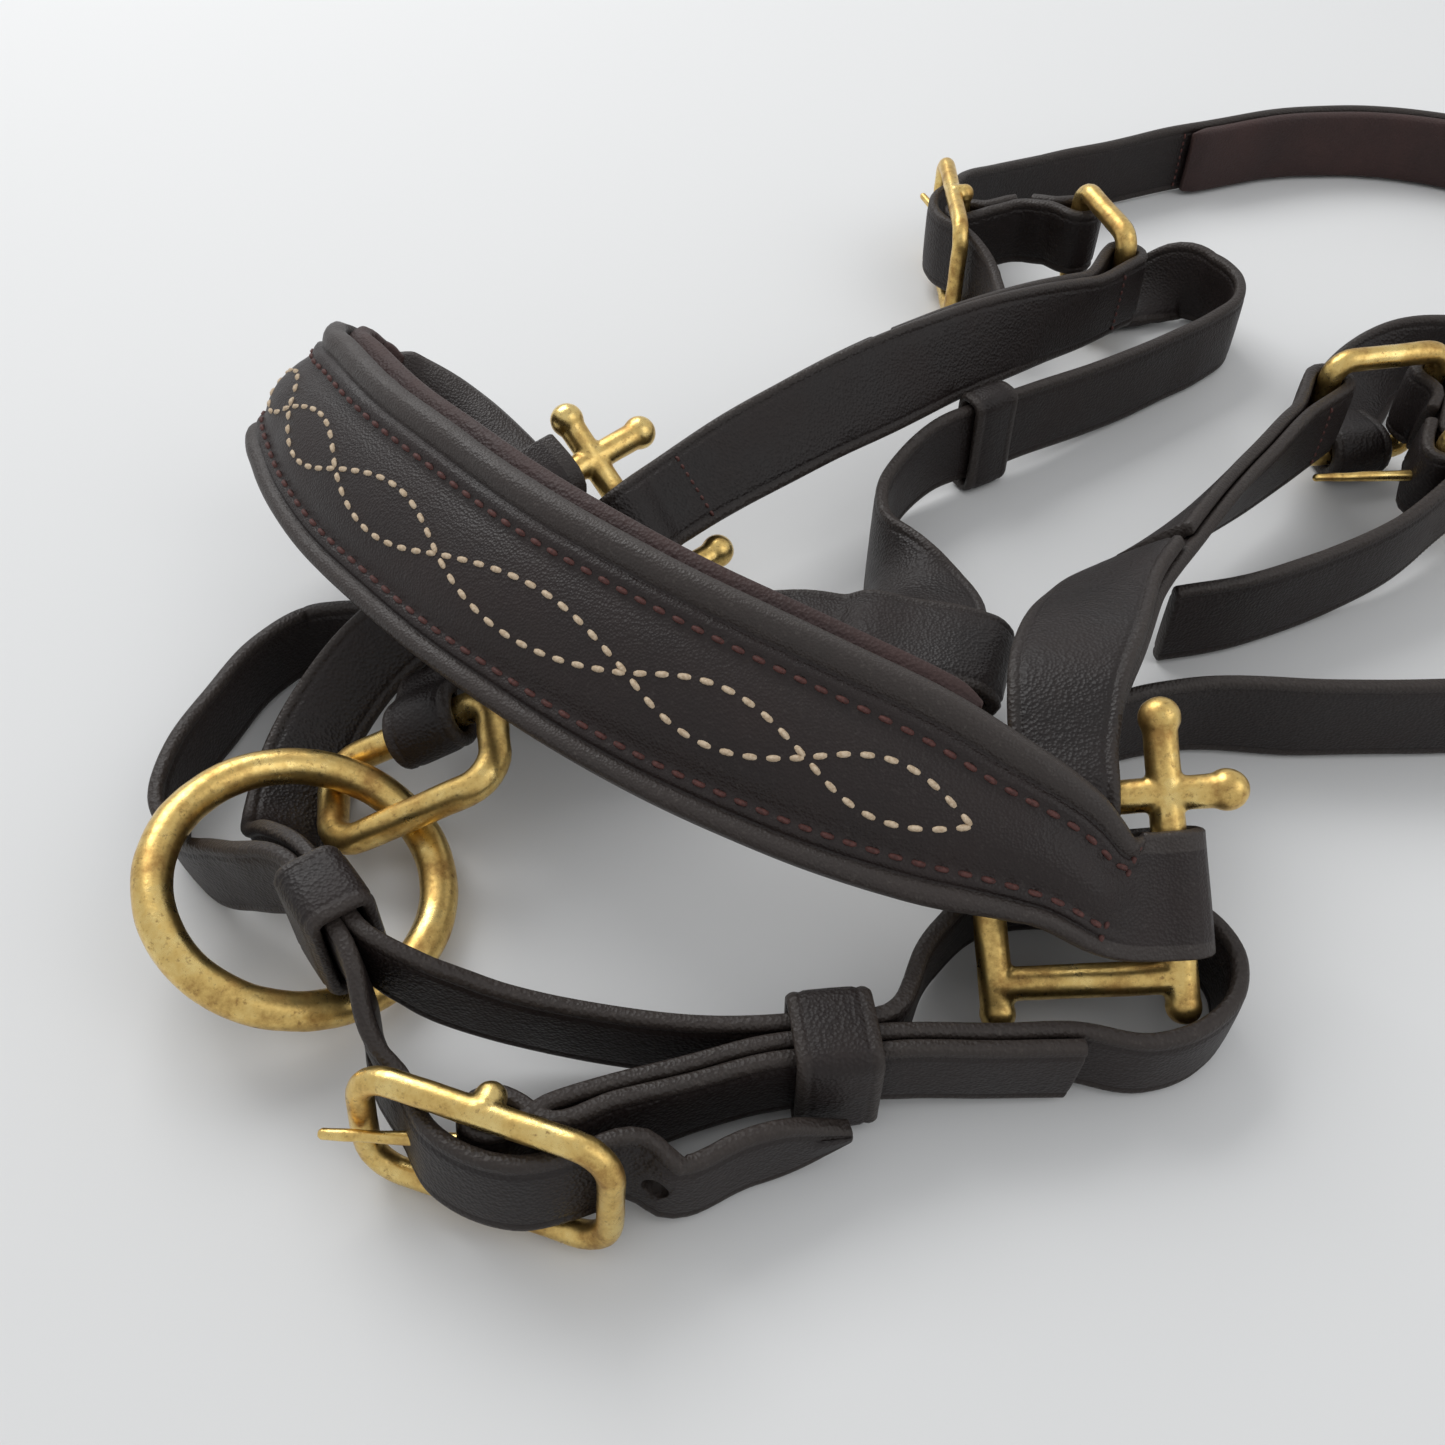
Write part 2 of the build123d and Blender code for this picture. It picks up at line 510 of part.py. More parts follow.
def throat_path():
    """Throatlatch from the lower bar of one upper ring to that of the other."""
    up = Vector(0, 0, 1)
    ends = []
    for ring, side in ((LEFT_UPPER, 1), (RIGHT_UPPER, -1)):
        bar = at(ring, 0, -UPPER_PITCH / 2, 0)
        away = axis(ring, 0, 0, side)
        heading, lean = angles(axis(ring, side, 0, 0))
        flat = (heading % 360, lean, THROAT_EYE_WIDTH)
        r = UPPER_BAR / 2 + BAR_GAP + LEATHER / 2
        fold = turn(bar, up * -side, away * -1, r, (0, 0, 0, *flat), -5, 185)
        tail = [row(bar + away * 5.4 + up * 3.9, *flat), row(bar + away * 10 + up * 2.9, *flat)]
        lead = row(bar + away * 8.5 - up * 3.4, *flat)
        ends.append((fold[::-1], tail, lead) if side > 0 else (fold, tail, lead))
    rows = [(*r, THROAT_WIDTH) for r in THROAT]
    rows[0] = (*THROAT[0], 18)
    (fold_a, tail_a, lead_a), (fold_b, tail_b, lead_b) = ends
    if fold_a[0][2] < fold_a[-1][2]:
        fold_a = fold_a[::-1]
    if fold_b[0][2] > fold_b[-1][2]:
        fold_b = fold_b[::-1]
    return grounded(smooth(tail_a[::-1] + fold_a + [lead_a] + rows + [lead_b] + fold_b + tail_b))


CROWN = [
    (80, 400.5, 12.6, 180, 0), (97, 411, 11, 120, 0), (120, 420.5, 11, 110, 0), (147, 431.5, 11, 105, 0),
    (188, 444, 11, 90, 0), (224, 441, 11, 70, 0), (254, 424, 11, 50, 0), (275, 396, 11, 20, 0),
    (281, 362, 11.5, 0, 0), (272, 330, 13, -30, 0), (256, 308, 15.4, -45, 0), (236, 294, 16.6, -60, 0),
    (215, 285, 16.2, -60, 0), (200.5, 277.5, 16.1, -55, 0), (182.9, 265.1, 16.1, -48, 0),
    (168.2, 252.4, 15.8, -48, 0), (150, 238, 13.0, -50, 0), (130, 228, 11, -60, 0),
    (112, 220.5, 11, -60, 0), (96, 216.8, 11, -70, 0),
]
CROWN = [(*r, CROWN_WIDTH) for r in CROWN]


def crown_path():
    """From the tip at the left crown buckle, over the far side, to the tip past the right one."""
    left = [row(at(CROWN_BUCKLE, x, y, 0) + Vector(0, 0, z), 180, 0, CROWN_WIDTH) for x, y, z in (
        (-37, -9.5, -4.6), (-29, -8.6, -3.6), (-20, -5.2, -1.0), (-13, -1.5, 0), (-7, 3.2, 0), (0, 5.0, 0),
        (7, 3.2, 0), (13, -1.9, 0), (20, -6.0, -1.0))]
    return grounded(smooth(left + CROWN))


def chape(bar_a, bar_b, size_a, size_b, middle, width):
    """Short folded strap on edge between two upright bars."""
    core = smooth([(*p, 0, 0, width) for p in middle], 2.5)
    path = folded(core, ((bar_a, size_a, core[0]), (bar_b, size_b, core[-1])), step=2.5)
    return ribbon(path, LEATHER, slots=[stations_near(path, bar_a, 6.0)])


def tongue_slot(path, buckle, after=0):
    """Stations of the hole that a whole buckle's tongue goes through, past station `after`."""
    cross = at(buckle, 11.5, 11.5 * SHANK_SLOPE + 0.5 - BUCKLE_BACK, 0)
    return stations_near(path, cross, 3.6, after)


# ---------------------------------------------------------------- build
def noseband():
    path = noseband_path()
    pad = BASE / 2 + LAYER_GAP + PAD / 2
    lining = pad + PAD / 2 + LAYER_GAP + LINING / 2
    return {
        "noseband_base": ribbon(path, BASE),
        "noseband_panel": layered(path, NOSE[0], NOSE[13], PANEL, -(BASE + PANEL) / 2 - LAYER_GAP, 3.0),
        "noseband_pad": layered(path, NOSE[2], NOSE[13], PAD, pad, 3.0),
        "noseband_lining": layered(path, NOSE[2], NOSE[13], LINING, lining),
    }


def chin():
    path = chin_path()
    pin = at(CHIN_BUCKLE, 0, -BUCKLE_BACK, 0)
    slots = stations_near(path, pin, 6.0), tongue_slot(path, CHIN_BUCKLE, len(path) // 2)
    strap = ribbon(path, LEATHER, slots=slots)
    reach = BUCKLE_LENGTH / 2 - BUCKLE_BAR / 2
    link = wire_loop(LINK_LENGTH, LINK_WIDTH, LINK_CORNER, LINK_BAR)
    return {
        "chin_strap": punched(strap, path, [33, 68 + HOLE_PITCH]),
        "left_chin_keeper": keeper(LEFT_KEEPER, 2 * LEATHER + PLY_GAP + 1.2, CHIN_WIDTH + 0.8),
        "right_chin_keeper": keeper(RIGHT_KEEPER, 3 * LEATHER + 2 * PLY_GAP + 1.8, CHIN_WIDTH + 0.8),
        "chin_buckle_frame": whole_buckle(CHIN_BUCKLE, CHIN_WIDTH + 0.8),
        "chin_buckle_tongue": tongue(CHIN_BUCKLE, reach + 4),
        "chin_ring": CHIN_RING * Torus(RING_RADIUS, RING_BAR / 2),
        "chin_link": CHIN_LINK * Rot(90, 0, 0) * link,
        "jowl_strap": jowl_strap(),
    }


def throat():
    ring = Rot(90, 0, 0) * wire_loop(UPPER_PITCH, UPPER_PITCH, UPPER_CORNER, UPPER_BAR)
    return {
        "left_upper_ring": LEFT_UPPER * ring,
        "right_upper_ring": RIGHT_UPPER * ring,
        "throatlatch": ribbon(throat_path(), LEATHER),
        "throatlatch_keeper": keeper(THROAT_KEEPER, LEATHER + 1.2, THROAT_WIDTH + 1.2, 12.0, 2.2),
    }


def crown():
    path = crown_path()
    pin = at(CROWN_BUCKLE, 0, -BUCKLE_BACK, 0)
    left, right = (at(ring, UPPER_PITCH / 2, 0, 0) for ring in (LEFT_UPPER, RIGHT_UPPER))
    heel = HALF_BUCKLE.origin
    reach = BUCKLE_LENGTH / 2 - BUCKLE_BAR / 2
    left_chape = chape(pin, left, PIN_BAR, UPPER_BAR, [
        (pin.X + 8, pin.Y, 17.0), (84, 373, 18.2), (left.X - 7.5, left.Y + 3.2, 19.8)], CHAPE_WIDTH)
    right_chape = chape(heel, right, PIN_BAR, UPPER_BAR, [
        (heel.X + 0.8, heel.Y + 8, 17.0), (169.2, 274, 18.2), (right.X - 0.7, right.Y - 8, 19.8)], CHAPE_WIDTH)
    first, last = CROWN[3], CROWN[9]
    pad = LEATHER / 2 + LAYER_GAP + CROWN_PAD / 2
    lining = pad + CROWN_PAD / 2 + LAYER_GAP + LINING / 2
    return {
        "left_crown_buckle_frame": whole_buckle(CROWN_BUCKLE, CROWN_WIDTH + 0.8),
        "left_crown_buckle_tongue": tongue(CROWN_BUCKLE, reach + 3),
        "left_crown_chape": left_chape,
        "crown_strap": ribbon(path, LEATHER, slots=[tongue_slot(path, CROWN_BUCKLE)]),
        "crown_pad": layered(path, first, last, CROWN_PAD, pad, 2.6),
        "crown_lining": layered(path, first, last, LINING, lining),
        "right_crown_chape": right_chape,
        "right_crown_buckle_frame": half_buckle(HALF_BUCKLE, CROWN_WIDTH + 1.6),
        "right_crown_buckle_tongue": loose_tongue(HALF_BUCKLE, 28.0),
    }


def build():
    squares = {
        "right_stop_square": stop_square(RIGHT_SQUARE, 5.0),
        "left_stop_square": stop_square(LEFT_SQUARE),
    }
    return {**noseband(), **squares, **chin(), **cheekpieces(), **throat(), **crown()}


if __name__ == "__main__":
    for name, solid in build().items():
        export_step(Pos(*(FOOT * -1)) * solid, f"parts/{name}.step")
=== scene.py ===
import bmesh
import bpy
import math
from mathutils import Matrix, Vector, noise


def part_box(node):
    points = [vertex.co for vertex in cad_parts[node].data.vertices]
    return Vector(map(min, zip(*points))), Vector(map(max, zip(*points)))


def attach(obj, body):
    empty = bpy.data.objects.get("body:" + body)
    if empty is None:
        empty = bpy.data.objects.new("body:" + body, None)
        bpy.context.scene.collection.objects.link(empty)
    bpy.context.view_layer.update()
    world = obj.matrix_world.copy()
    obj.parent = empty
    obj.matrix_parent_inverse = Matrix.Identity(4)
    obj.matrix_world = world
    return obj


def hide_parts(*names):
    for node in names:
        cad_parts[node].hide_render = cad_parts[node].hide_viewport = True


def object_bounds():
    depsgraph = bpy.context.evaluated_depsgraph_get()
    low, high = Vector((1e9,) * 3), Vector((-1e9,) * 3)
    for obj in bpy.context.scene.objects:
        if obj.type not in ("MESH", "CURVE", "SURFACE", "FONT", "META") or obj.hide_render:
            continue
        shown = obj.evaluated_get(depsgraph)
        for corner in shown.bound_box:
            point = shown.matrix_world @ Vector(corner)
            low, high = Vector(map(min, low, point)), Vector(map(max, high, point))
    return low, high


# Leather headcollar lying folded on a table. Lengths below are millimetres in the layout that the CAD
# part is written in; `place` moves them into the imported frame, in metres.

LEATHER = 3.0
PLY_GAP = 0.2
BAR_GAP = 0.35
STEP = 3.5               # spacing of the stations that the CAD straps were built from
FINE = 1.3               # spacing of the sections of the shown straps
LUMP = 0.35              # how far the leather wanders from its true line
WANDER_SEED = 7          # makes that wandering the same on every run
RIB_PITCH = 2.6          # flexing wrinkles of the crown strap
RIB_HEIGHT = 0.22

CHIN_WIDTH = 17.0
THROAT_WIDTH = 21.0
CROWN_WIDTH = 21.0
CHEEK_WIDTH = 24.0
CHEEK_TOP_WIDTH = 20.0
CHEEK_FOLD_WIDTH = 18.6
CHEEK_SHIFT = 1.6
JOWL_WIDTH = 22.0
THROAT_EYE_WIDTH = 15.0
CHAPE_WIDTH = 18.5
NOSEBAND_END_WIDTH = 22.0
NOSEBAND_DROP = 1.2
NOSEBAND_WIDTH = 42.0
BASE, PANEL, PAD, LINING = 2.4, 1.4, 2.4, 1.6
CROWN_PAD = 2.0
LAYER_GAP = 0.6

SQUARE_PITCH = 31.0
SQUARE_BAR = 6.0
HORN_UP = 13.0
HORN_SIDE = 10.0
HORN_END = 7.4
RING_BAR = 7.0
RING_RADIUS = 25.0
LINK_BAR = 6.2
LINK_LENGTH = 36.0
LINK_WIDTH = 20.4
LINK_CORNER = 6.5
BUCKLE_BAR = 4.6
BUCKLE_LENGTH = 47.0
BUCKLE_BACK = 3.2
PIN_BAR = 4.0
TONGUE = 2.8
SHANK_SLOPE = 0.33
HALF_LENGTH = 27.0
HOLE = 4.6
HOLE_PITCH = 21.7
UPPER_BAR = 5.5
UPPER_PITCH = 27.5
UPPER_CORNER = 4.4


# ---------------------------------------------------------------- planes and paths
class Plane:
    """Right-handed axes at a point."""

    def __init__(self, origin, x_dir=(1, 0, 0), z_dir=(0, 0, 1)):
        self.origin = Vector(origin)
        self.z = Vector(z_dir).normalized()
        across = Vector(x_dir)
        self.x = (across - self.z * across.dot(self.z)).normalized()
        self.y = self.z.cross(self.x)

    def at(self, x, y, z=0.0):
        return self.origin + self.x * x + self.y * y + self.z * z

    def way(self, x, y, z):
        return (self.x * x + self.y * y + self.z * z).normalized()


def tilted(origin, x_dir, up):
    """Plane with x along `x_dir` and its y as near `up` as it can be."""
    x = Vector(x_dir).normalized()
    return Plane(origin, x, x.cross(Vector(up)))


def lean_dir(heading, lean):
    h, a = math.radians(heading), math.radians(lean)
    return Vector((math.sin(a) * math.cos(h), math.sin(a) * math.sin(h), math.cos(a)))


def angles(direction):
    return math.degrees(math.atan2(direction.y, direction.x)), math.degrees(math.acos(direction.z))


def row(point, heading, lean, *more):
    return (point.x, point.y, point.z, heading, lean, *more)


def smooth(rows, step=STEP):
    """Rows blended by cubics that pass through every station."""
    gaps = [math.dist(a[:3], b[:3]) for a, b in zip(rows, rows[1:])]

    def slope(i):
        if i == 0:
            return [(b - a) / gaps[0] for a, b in zip(rows[0], rows[1])]
        if i == len(rows) - 1:
            return [(b - a) / gaps[-1] for a, b in zip(rows[-2], rows[-1])]
        before, after = gaps[i - 1], gaps[i]
        return [((b - a) / before * after + (c - b) / after * before) / (before + after)
                for a, b, c in zip(rows[i - 1], rows[i], rows[i + 1])]

    out = []
    for i, gap in enumerate(gaps):
        count = max(1, round(gap / step))
        here, there = slope(i), slope(i + 1)
        for j in range(count):
            t = j / count
            c0, c1 = 2 * t**3 - 3 * t**2 + 1, t**3 - 2 * t**2 + t
            c2, c3 = 3 * t**2 - 2 * t**3, t**3 - t**2
            out.append(tuple(c0 * a + c1 * gap * p + c2 * b + c3 * gap * q
                             for a, b, p, q in zip(rows[i], rows[i + 1], here, there)))
    out.append(tuple(rows[-1]))
    return out


def frames(path):
    """A plane per station: x along the width, y through the leather, z along the strap."""
    out = []
    for i, station in enumerate(path):
        a, b = path[max(i - 1, 0)], path[min(i + 1, len(path) - 1)]
        ahead = Vector(b[:3]) - Vector(a[:3])
        out.append(Plane(station[:3], lean_dir(station[3], station[4]), ahead))
    return out


def grounded(path, thick=LEATHER):
    """The path lifted where an edge of the leather would sink below the table."""
    out = []
    for station, plane in zip(path, frames(path)):
        reach = abs(plane.x.z) * station[5] / 2 + abs(plane.y.z) * thick / 2
        out.append((*station[:2], max(station[2], reach + 0.5), *station[3:]))
    return out


def shifted(path, off):
    return [row(plane.at(0, off), *station[3:]) for station, plane in zip(path, frames(path))]


def tapered(path, length):
    """The path with its end narrowed to a rounded point."""
    end, out = path[-1], []
    for station in path:
        left = math.dist(station[:3], end[:3])
        share = 1 if left > length else 0.22 + 0.78 * math.sin(math.pi / 2 * left / length)
        out.append((*station[:5], station[5] * share))
    return out


def turn(centre, side, tip, radius, station, first=-20, last=200):
    """Stations of a fold round a bar: from `side` over `tip` to the other side."""
    side = (side - tip * side.dot(tip)).normalized()
    count = round((last - first) / 22) + 1
    out = []
    for k in range(count):
        a = math.radians(first + (last - first) * k / (count - 1))
        out.append(row(Vector(centre) + (side * math.cos(a) + tip * math.sin(a)) * radius, *station[3:]))
    return out


def folded(core, ends, thick=LEATHER, step=FINE):
    """Path of a strip laid double along `core` and folded round a bar at each end."""
    planes = frames(core)
    half = (thick + PLY_GAP) / 2
    front, back = shifted(core, half), shifted(core, -half)
    folds = []
    for (bar, size, station), plane, sign in zip(ends, (planes[0], planes[-1]), (-1, 1)):
        tip = (Vector(bar) - plane.origin).normalized()
        folds.append(turn(bar, plane.y * sign, tip, size / 2 + BAR_GAP + thick / 2, station))
    cut = len(core) // 2
    return smooth(back[:cut][::-1] + folds[0] + front + folds[1] + back[cut + 1:][::-1], step)


# ---------------------------------------------------------------- where the fittings lie
RIGHT_SQUARE = tilted((61.3, 138.2, 23.4), (0.978, -0.068, 0.198), (-0.08, 0.75, 0.655))
LEFT_SQUARE = tilted((-31.2, 224.1, 24.4), (0.55, -0.57, -0.61), (0.755, 0.65, 0.07))
CHIN_BUCKLE = Plane(origin=(-37, 94.0, 14.4), x_dir=(-0.944, 0.33, 0), z_dir=(0.064, 0.183, 0.981))
CROWN_BUCKLE = Plane(origin=(65, 372, 16.0), x_dir=(0, 1, 0), z_dir=(0, 0, 1))
LEFT_UPPER = Plane(origin=(103.5, 352.5, 20.2), x_dir=(-0.25, 0.968, 0), z_dir=(0.968, 0.25, 0))
RIGHT_UPPER = Plane(origin=(158, 284, 20.2), x_dir=(0.98, 0.17, 0), z_dir=(0.17, -0.98, 0))
HALF_BUCKLE = Plane(origin=(167, 262, 16.1), x_dir=(0.98, 0.2, 0), z_dir=(0, 0, 1))
CHIN_RING = Plane(origin=(-76.5, 147, 13.4), z_dir=(0.37, -0.09, 1))
CHIN_LINK = tilted((-59.5, 171.3, 15.5), (0.9, 0.15, 0.41), (-0.17, 0.985, 0))
LEFT_KEEPER = Plane(origin=(-65, 131, 25.0), x_dir=(0.8, 0.6, 0), z_dir=(0.6, -0.8, 0))
RIGHT_KEEPER = Plane(origin=(18, 112.6, 11.8), x_dir=(-0.1, 0.995, 0), z_dir=(0.995, 0.1, 0))
THROAT_KEEPER = Plane(origin=(64, 280.5, 13.5), x_dir=(0.5, -0.866, 0), z_dir=(0.866, 0.5, 0))


NOSE = [
    (67.3, 132.7, 30.0, 96, 49, 22),
    (56.0, 136.4, 37.4, 78, 48, 28),
    (36, 143.5, 42.5, 64, 48, 37),
    (13, 153, 46.5, 58, 48, 41),
    (-11, 165, 50, 50, 48, NOSEBAND_WIDTH),
    (-34, 181, 52, 44, 48, NOSEBAND_WIDTH),
    (-57, 203, 52, 37, 48, NOSEBAND_WIDTH),
    (-76, 226, 50.5, 30, 48, 41),
    (-86, 243.5, 48.5, 26, 48, 39),
    (-90, 252, 47, 25, 48, 37),
    (-91.1, 258.4, 45.1, 25, 48, 36.5),
    (-88.4, 262.6, 40.4, 25, 48, 36),
    (-83.4, 262.4, 35.9, 25, 48, 35),
    (-76, 259.5, 33.0, 27, 48, 34),
    (-66, 254.5, 32.0, 32, 53, 31),
    (-56, 247.5, 32.0, 37, 65, 27),
]


def noseband_path():
    """Long strap folded round a bar of each stop square."""
    r = SQUARE_BAR / 2 + BAR_GAP + BASE / 2 + 0.15
    half = SQUARE_PITCH / 2
    ends = []
    for square, side, front in ((RIGHT_SQUARE, 1, 1), (LEFT_SQUARE, -1, -1)):
        bar = square.at(side * half, -NOSEBAND_DROP, 0)
        face, tip = square.way(0, 0, front), square.way(1, 0, 0)
        last = (0, 0, 0, *angles(square.way(0, 1, 0)), NOSEBAND_END_WIDTH)
        tail = [row(bar - face * 2.6 - tip * 8.0, *last[3:])]
        ends.append(turn(bar, face, tip, r, last, -8, 195) + tail)
    return smooth(ends[0][::-1] + NOSE + ends[1])


# ---------------------------------------------------------------- chin strap
def chin_path():
    """One strap: fold at the buckle, right square, keepers, left square, ring, billet."""
    half = (LEATHER + PLY_GAP) / 2
    up = 9.0
    pin = CHIN_BUCKLE.at(0, -BUCKLE_BACK, 0)
    back = CHIN_BUCKLE.way(0, -1, 0)
    lean = angles(CHIN_BUCKLE.way(0, 0, 1))
    round_pin = PIN_BAR / 2 + BAR_GAP + LEATHER / 2
    eye = turn(pin, back, CHIN_BUCKLE.way(1, 0, 0), round_pin, (0, 0, 0, *lean), -5, 200)

    # doubled leg: (x, y, z) of the middle between its two layers
    leg = [(-27, 97.6, 13.4), (-18, 101.4, 12.4), (-5, 106.2, 11.8), (6, 109.4, 11.8),
           (18, 111.1, 11.8), (30, 112.2, 11.6), (46, 113.0, 10.2), (58, 113.6, 9.4)]
    leg = [(*p, 71, 8 if p[0] < -15 else 0) for p in leg]
    inner, outer = shifted(leg, half), shifted(leg, -half)
    bend = [(70, 113.2, up), (80, 116.2, up), (86.6, 122.5, up), (88.4, 130, up), (85.5, 137, up),
            (77, 143, up), (62, 146, up), (47, 144, up), (36, 133, 10.0)]
    second = RIGHT_KEEPER.at(3.4, 0, 0)
    run = [(second.x + 9, second.y + 0.9, second.z), (second.x, second.y, second.z),
           (second.x - 9, second.y - 0.9, second.z), (-4, 115.6, 10.6), (-22, 117.5, 11.5),
           (-40, 119.4, 16.5),
           (-52, 121.8, 22.5)]
    step = LEFT_KEEPER.way(0, 0, 1) * 9
    inside, outside = LEFT_KEEPER.at(half, 0, 0), LEFT_KEEPER.at(-half, 0, 0)
    first = [inside + step, inside, inside - step]
    rise = [row(p, 150, 0) for p in first] + [
        (-76.5, 148.0, 19.5, 155, 30), (-82, 156, 11.0, 165, 52), (-84.5, 165, 6.2, 172, 60),
        (-84.5, 176, 6.6, 168, 61), (-80.5, 190, 10.5, 152, 54), (-72, 199.5, 17.5, 140, 50),
        (-62, 204.5, 24, 136, 50)]
    bar = LEFT_SQUARE.at(0, -SQUARE_PITCH / 2, 0)
    face, tip = LEFT_SQUARE.way(0, 0, 1), LEFT_SQUARE.way(0, 1, 0)
    tilt = angles(LEFT_SQUARE.way(-1, 0, 0))
    fold = turn(bar, face, tip, SQUARE_BAR / 2 + BAR_GAP + LEATHER / 2, (0, 0, 0, *tilt), 8, 172)
    down = [(-56, 210.0, 18.6, 134, 50), (-67, 208, 15.5, 134, 42), (-78, 213, 11.5, 140, 18),
            (-88, 214.5, up, 150, 2), (-97, 206, up, 150, 0), (-103, 191, up, 150, 0),
            (-107.2, 176, up, 150, 0), (-106.0, 164, up, 150, 8),
            (-97.5, 153.3, 9.4, 150, 22), (-86, 146.0, 16.5, 150, 12)]
    pass_by = [row(p, 150, 0) for p in (outside - step, outside, outside + step)]
    billet = [row(CHIN_BUCKLE.at(x, y, 0) + Vector((0, 0, z)), *lean) for x, y, z in (
        (20, -6.5, 2.4), (14.5, -2.8, 0.2), (8, 2.4, 0), (0, 4.6, 0), (-8, 3.6, 0), (-15, -1.3, 0),
        (-22, -7.2, -0.2))]
    tip_end = [(-8, 91.4, 10.0, 71, 4), (4, 96.4, 9.2, 71, 0), (17, 100.4, 9.0, 71, 0),
               (20, 101.2, 9.0, 71, 0)]
    flat = [(*p, 71, 0) if len(p) == 3 else p for p in bend + run]
    rows = inner[::-1] + eye + outer + flat + rise + fold + down + pass_by + billet + tip_end
    path = smooth([(*r[:5], CHIN_WIDTH) for r in rows])
    return grounded(tapered(path, 14))


# ---------------------------------------------------------------- other straps
def cheekpieces():
    """Doubled straps from the stop squares to the upper rings."""
    half = SQUARE_PITCH / 2
    right = [(58.6, 157.5, 39.0, -4, 80), (60.4, 168, 42.0, -8, 82), (66, 182, 40.5, -18, 76),
             (76, 202, 34.0, -30, 58), (92, 222, 28.0, -38, 36), (112, 245, 23.0, -43, 16),
             (134, 268, 20.6, -45, 0)]
    left = [(-13.4, 237.4, 26.4, 132, 51), (4, 251.5, 29.0, 130, 47), (34, 275, 30.4, 129, 38),
            (66, 300, 28.4, 128, 22), (94, 324, 21.6, 128, 0)]
    out = {}
    for name, rows, square, ring, side in (("right", right, RIGHT_SQUARE, RIGHT_UPPER, -1),
                                           ("left", left, LEFT_SQUARE, LEFT_UPPER, 1)):
        count = len(rows) - 1
        wide = [CHEEK_FOLD_WIDTH] + [CHEEK_WIDTH + (CHEEK_TOP_WIDTH - CHEEK_WIDTH) * i / count
                                     for i in range(1, count + 1)]
        wide[1] = (wide[0] + wide[2]) / 2
        core = smooth([(*r, w) for r, w in zip(rows, wide)])
        along = angles(square.way(-side, 0, 0))
        low = square.at(side * CHEEK_SHIFT, half, 0), SQUARE_BAR + 0.5, (0, 0, 0, *along, CHEEK_FOLD_WIDTH)
        top = ring.at(-UPPER_PITCH / 2, 0, 0), UPPER_BAR, core[-1]
        out[name + "_cheekpiece"] = folded(core, (low, top))
    return out


def jowl_strap():
    """From the link, twisting on to its edge, to the flat loop that carries the throatlatch."""
    bar = CHIN_LINK.at(4.6, LINK_WIDTH / 2, 0)
    along = angles(CHIN_LINK.way(1, 0, 0))
    rows = [row(bar + Vector((-0.5, 6.4, 1.4)), *along, 14.5),
            row(bar + Vector((0.2, 9.2, 2.2)), 0, 58, 14.5),
            (-52.6, 193.6, 18.6, -30, 42, 16), (-46.5, 195.0, 17.2, -30, 16, 18.5),
            (-38, 196, 15.2, 0, 2, 20.5),
            (-29, 197, 13.7, 40, 0, JOWL_WIDTH), (-17, 198.5, 13.5, 95, 6, JOWL_WIDTH),
            (-4, 201.5, 15.5, 92, 30, JOWL_WIDTH), (6, 203.2, 18.0, 85, 60, JOWL_WIDTH),
            (15, 204.2, 20.0, 76, 86, JOWL_WIDTH), (23, 202.6, 20.6, 74.6, 90, JOWL_WIDTH)]
    core = smooth(rows)
    start, end = core[0], frames(core)[-1]
    ahead = Vector((0.964, -0.266, 0))
    # pocket: the layers part for the throatlatch and meet past it
    pocket = []
    for run, lift in ((4.5, 4.0), (14, 4.0), (27, 4.0), (32, 2.7), (33.8, 0), (32, -2.7), (27, -4.0),
                      (14, -4.0), (4.5, -4.0)):
        pocket.append(row(end.origin + ahead * run + end.y * lift, 74.6, 90, JOWL_WIDTH))
    half = (LEATHER + PLY_GAP) / 2
    front, back = shifted(core, half), shifted(core, -half)
    first = frames(core)[0]
    tip = (bar - first.origin).normalized()
    fold = turn(bar, -first.y, tip, LINK_BAR / 2 + BAR_GAP + LEATHER / 2 + 0.3, start)
    cut = len(core) // 2
    return smooth(back[:cut][::-1] + fold + front + pocket + back[cut + 1:][::-1], FINE)


THROAT = [
    (119.5, 357.4, 4.6, 104, 62), (128.5, 357.6, 8.6, 95, 22), (136, 353, 11, 60, 0), (140, 343, 11, 20, 0),
    (137.5, 332, 11, -20, 0), (129, 323.5, 11, -45, 0), (115, 313, 11, -60, 0), (94, 298.6, 12, -60, 0),
    (76.5, 287.7, 13.4, -60, 0), (64, 280.5, 13.5, -60, 0), (51.5, 273.3, 13.4, -60, 0),
    (42.4, 264, 11.5, -40, 0),
    (36.5, 250.5, 11, -17, 0), (35.5, 238, 12, -17, 12), (38.5, 225, 16.5, -17, 54),
    (44.2, 211.5, 20.6, -17, 90),
    (40.8, 198.2, 20.6, -17, 90), (37.2, 183.8, 20.6, -17, 90), (35.4, 174.5, 17.2, -14, 58),
    (39.5, 166.5, 12.4, -5, 18), (48.5, 163.8, 11, 0, 0), (58, 167.5, 11, 0, 0), (67, 177, 11, -20, 0),
    (78, 186, 11, -60, 0), (92, 190, 11, -85, 0), (120, 189.4, 11, -90, 0), (150, 190, 11, -90, 0),
    (185, 193, 11, -85, 0), (208, 202, 10.8, -60, 8), (223, 219, 8.2, -35, 42), (231, 240, 3.8, -17, 79),
    (234, 262, 2.0, -6, 90), (233, 286, 2.0, 4, 90), (227, 303, 3.8, 30, 79), (213, 316, 8.6, 62, 34),
    (193, 320.5, 11, 95, 4), (175, 316.5, 9.2, 135, 32), (163.5, 305.5, 4.8, 168, 72),
]


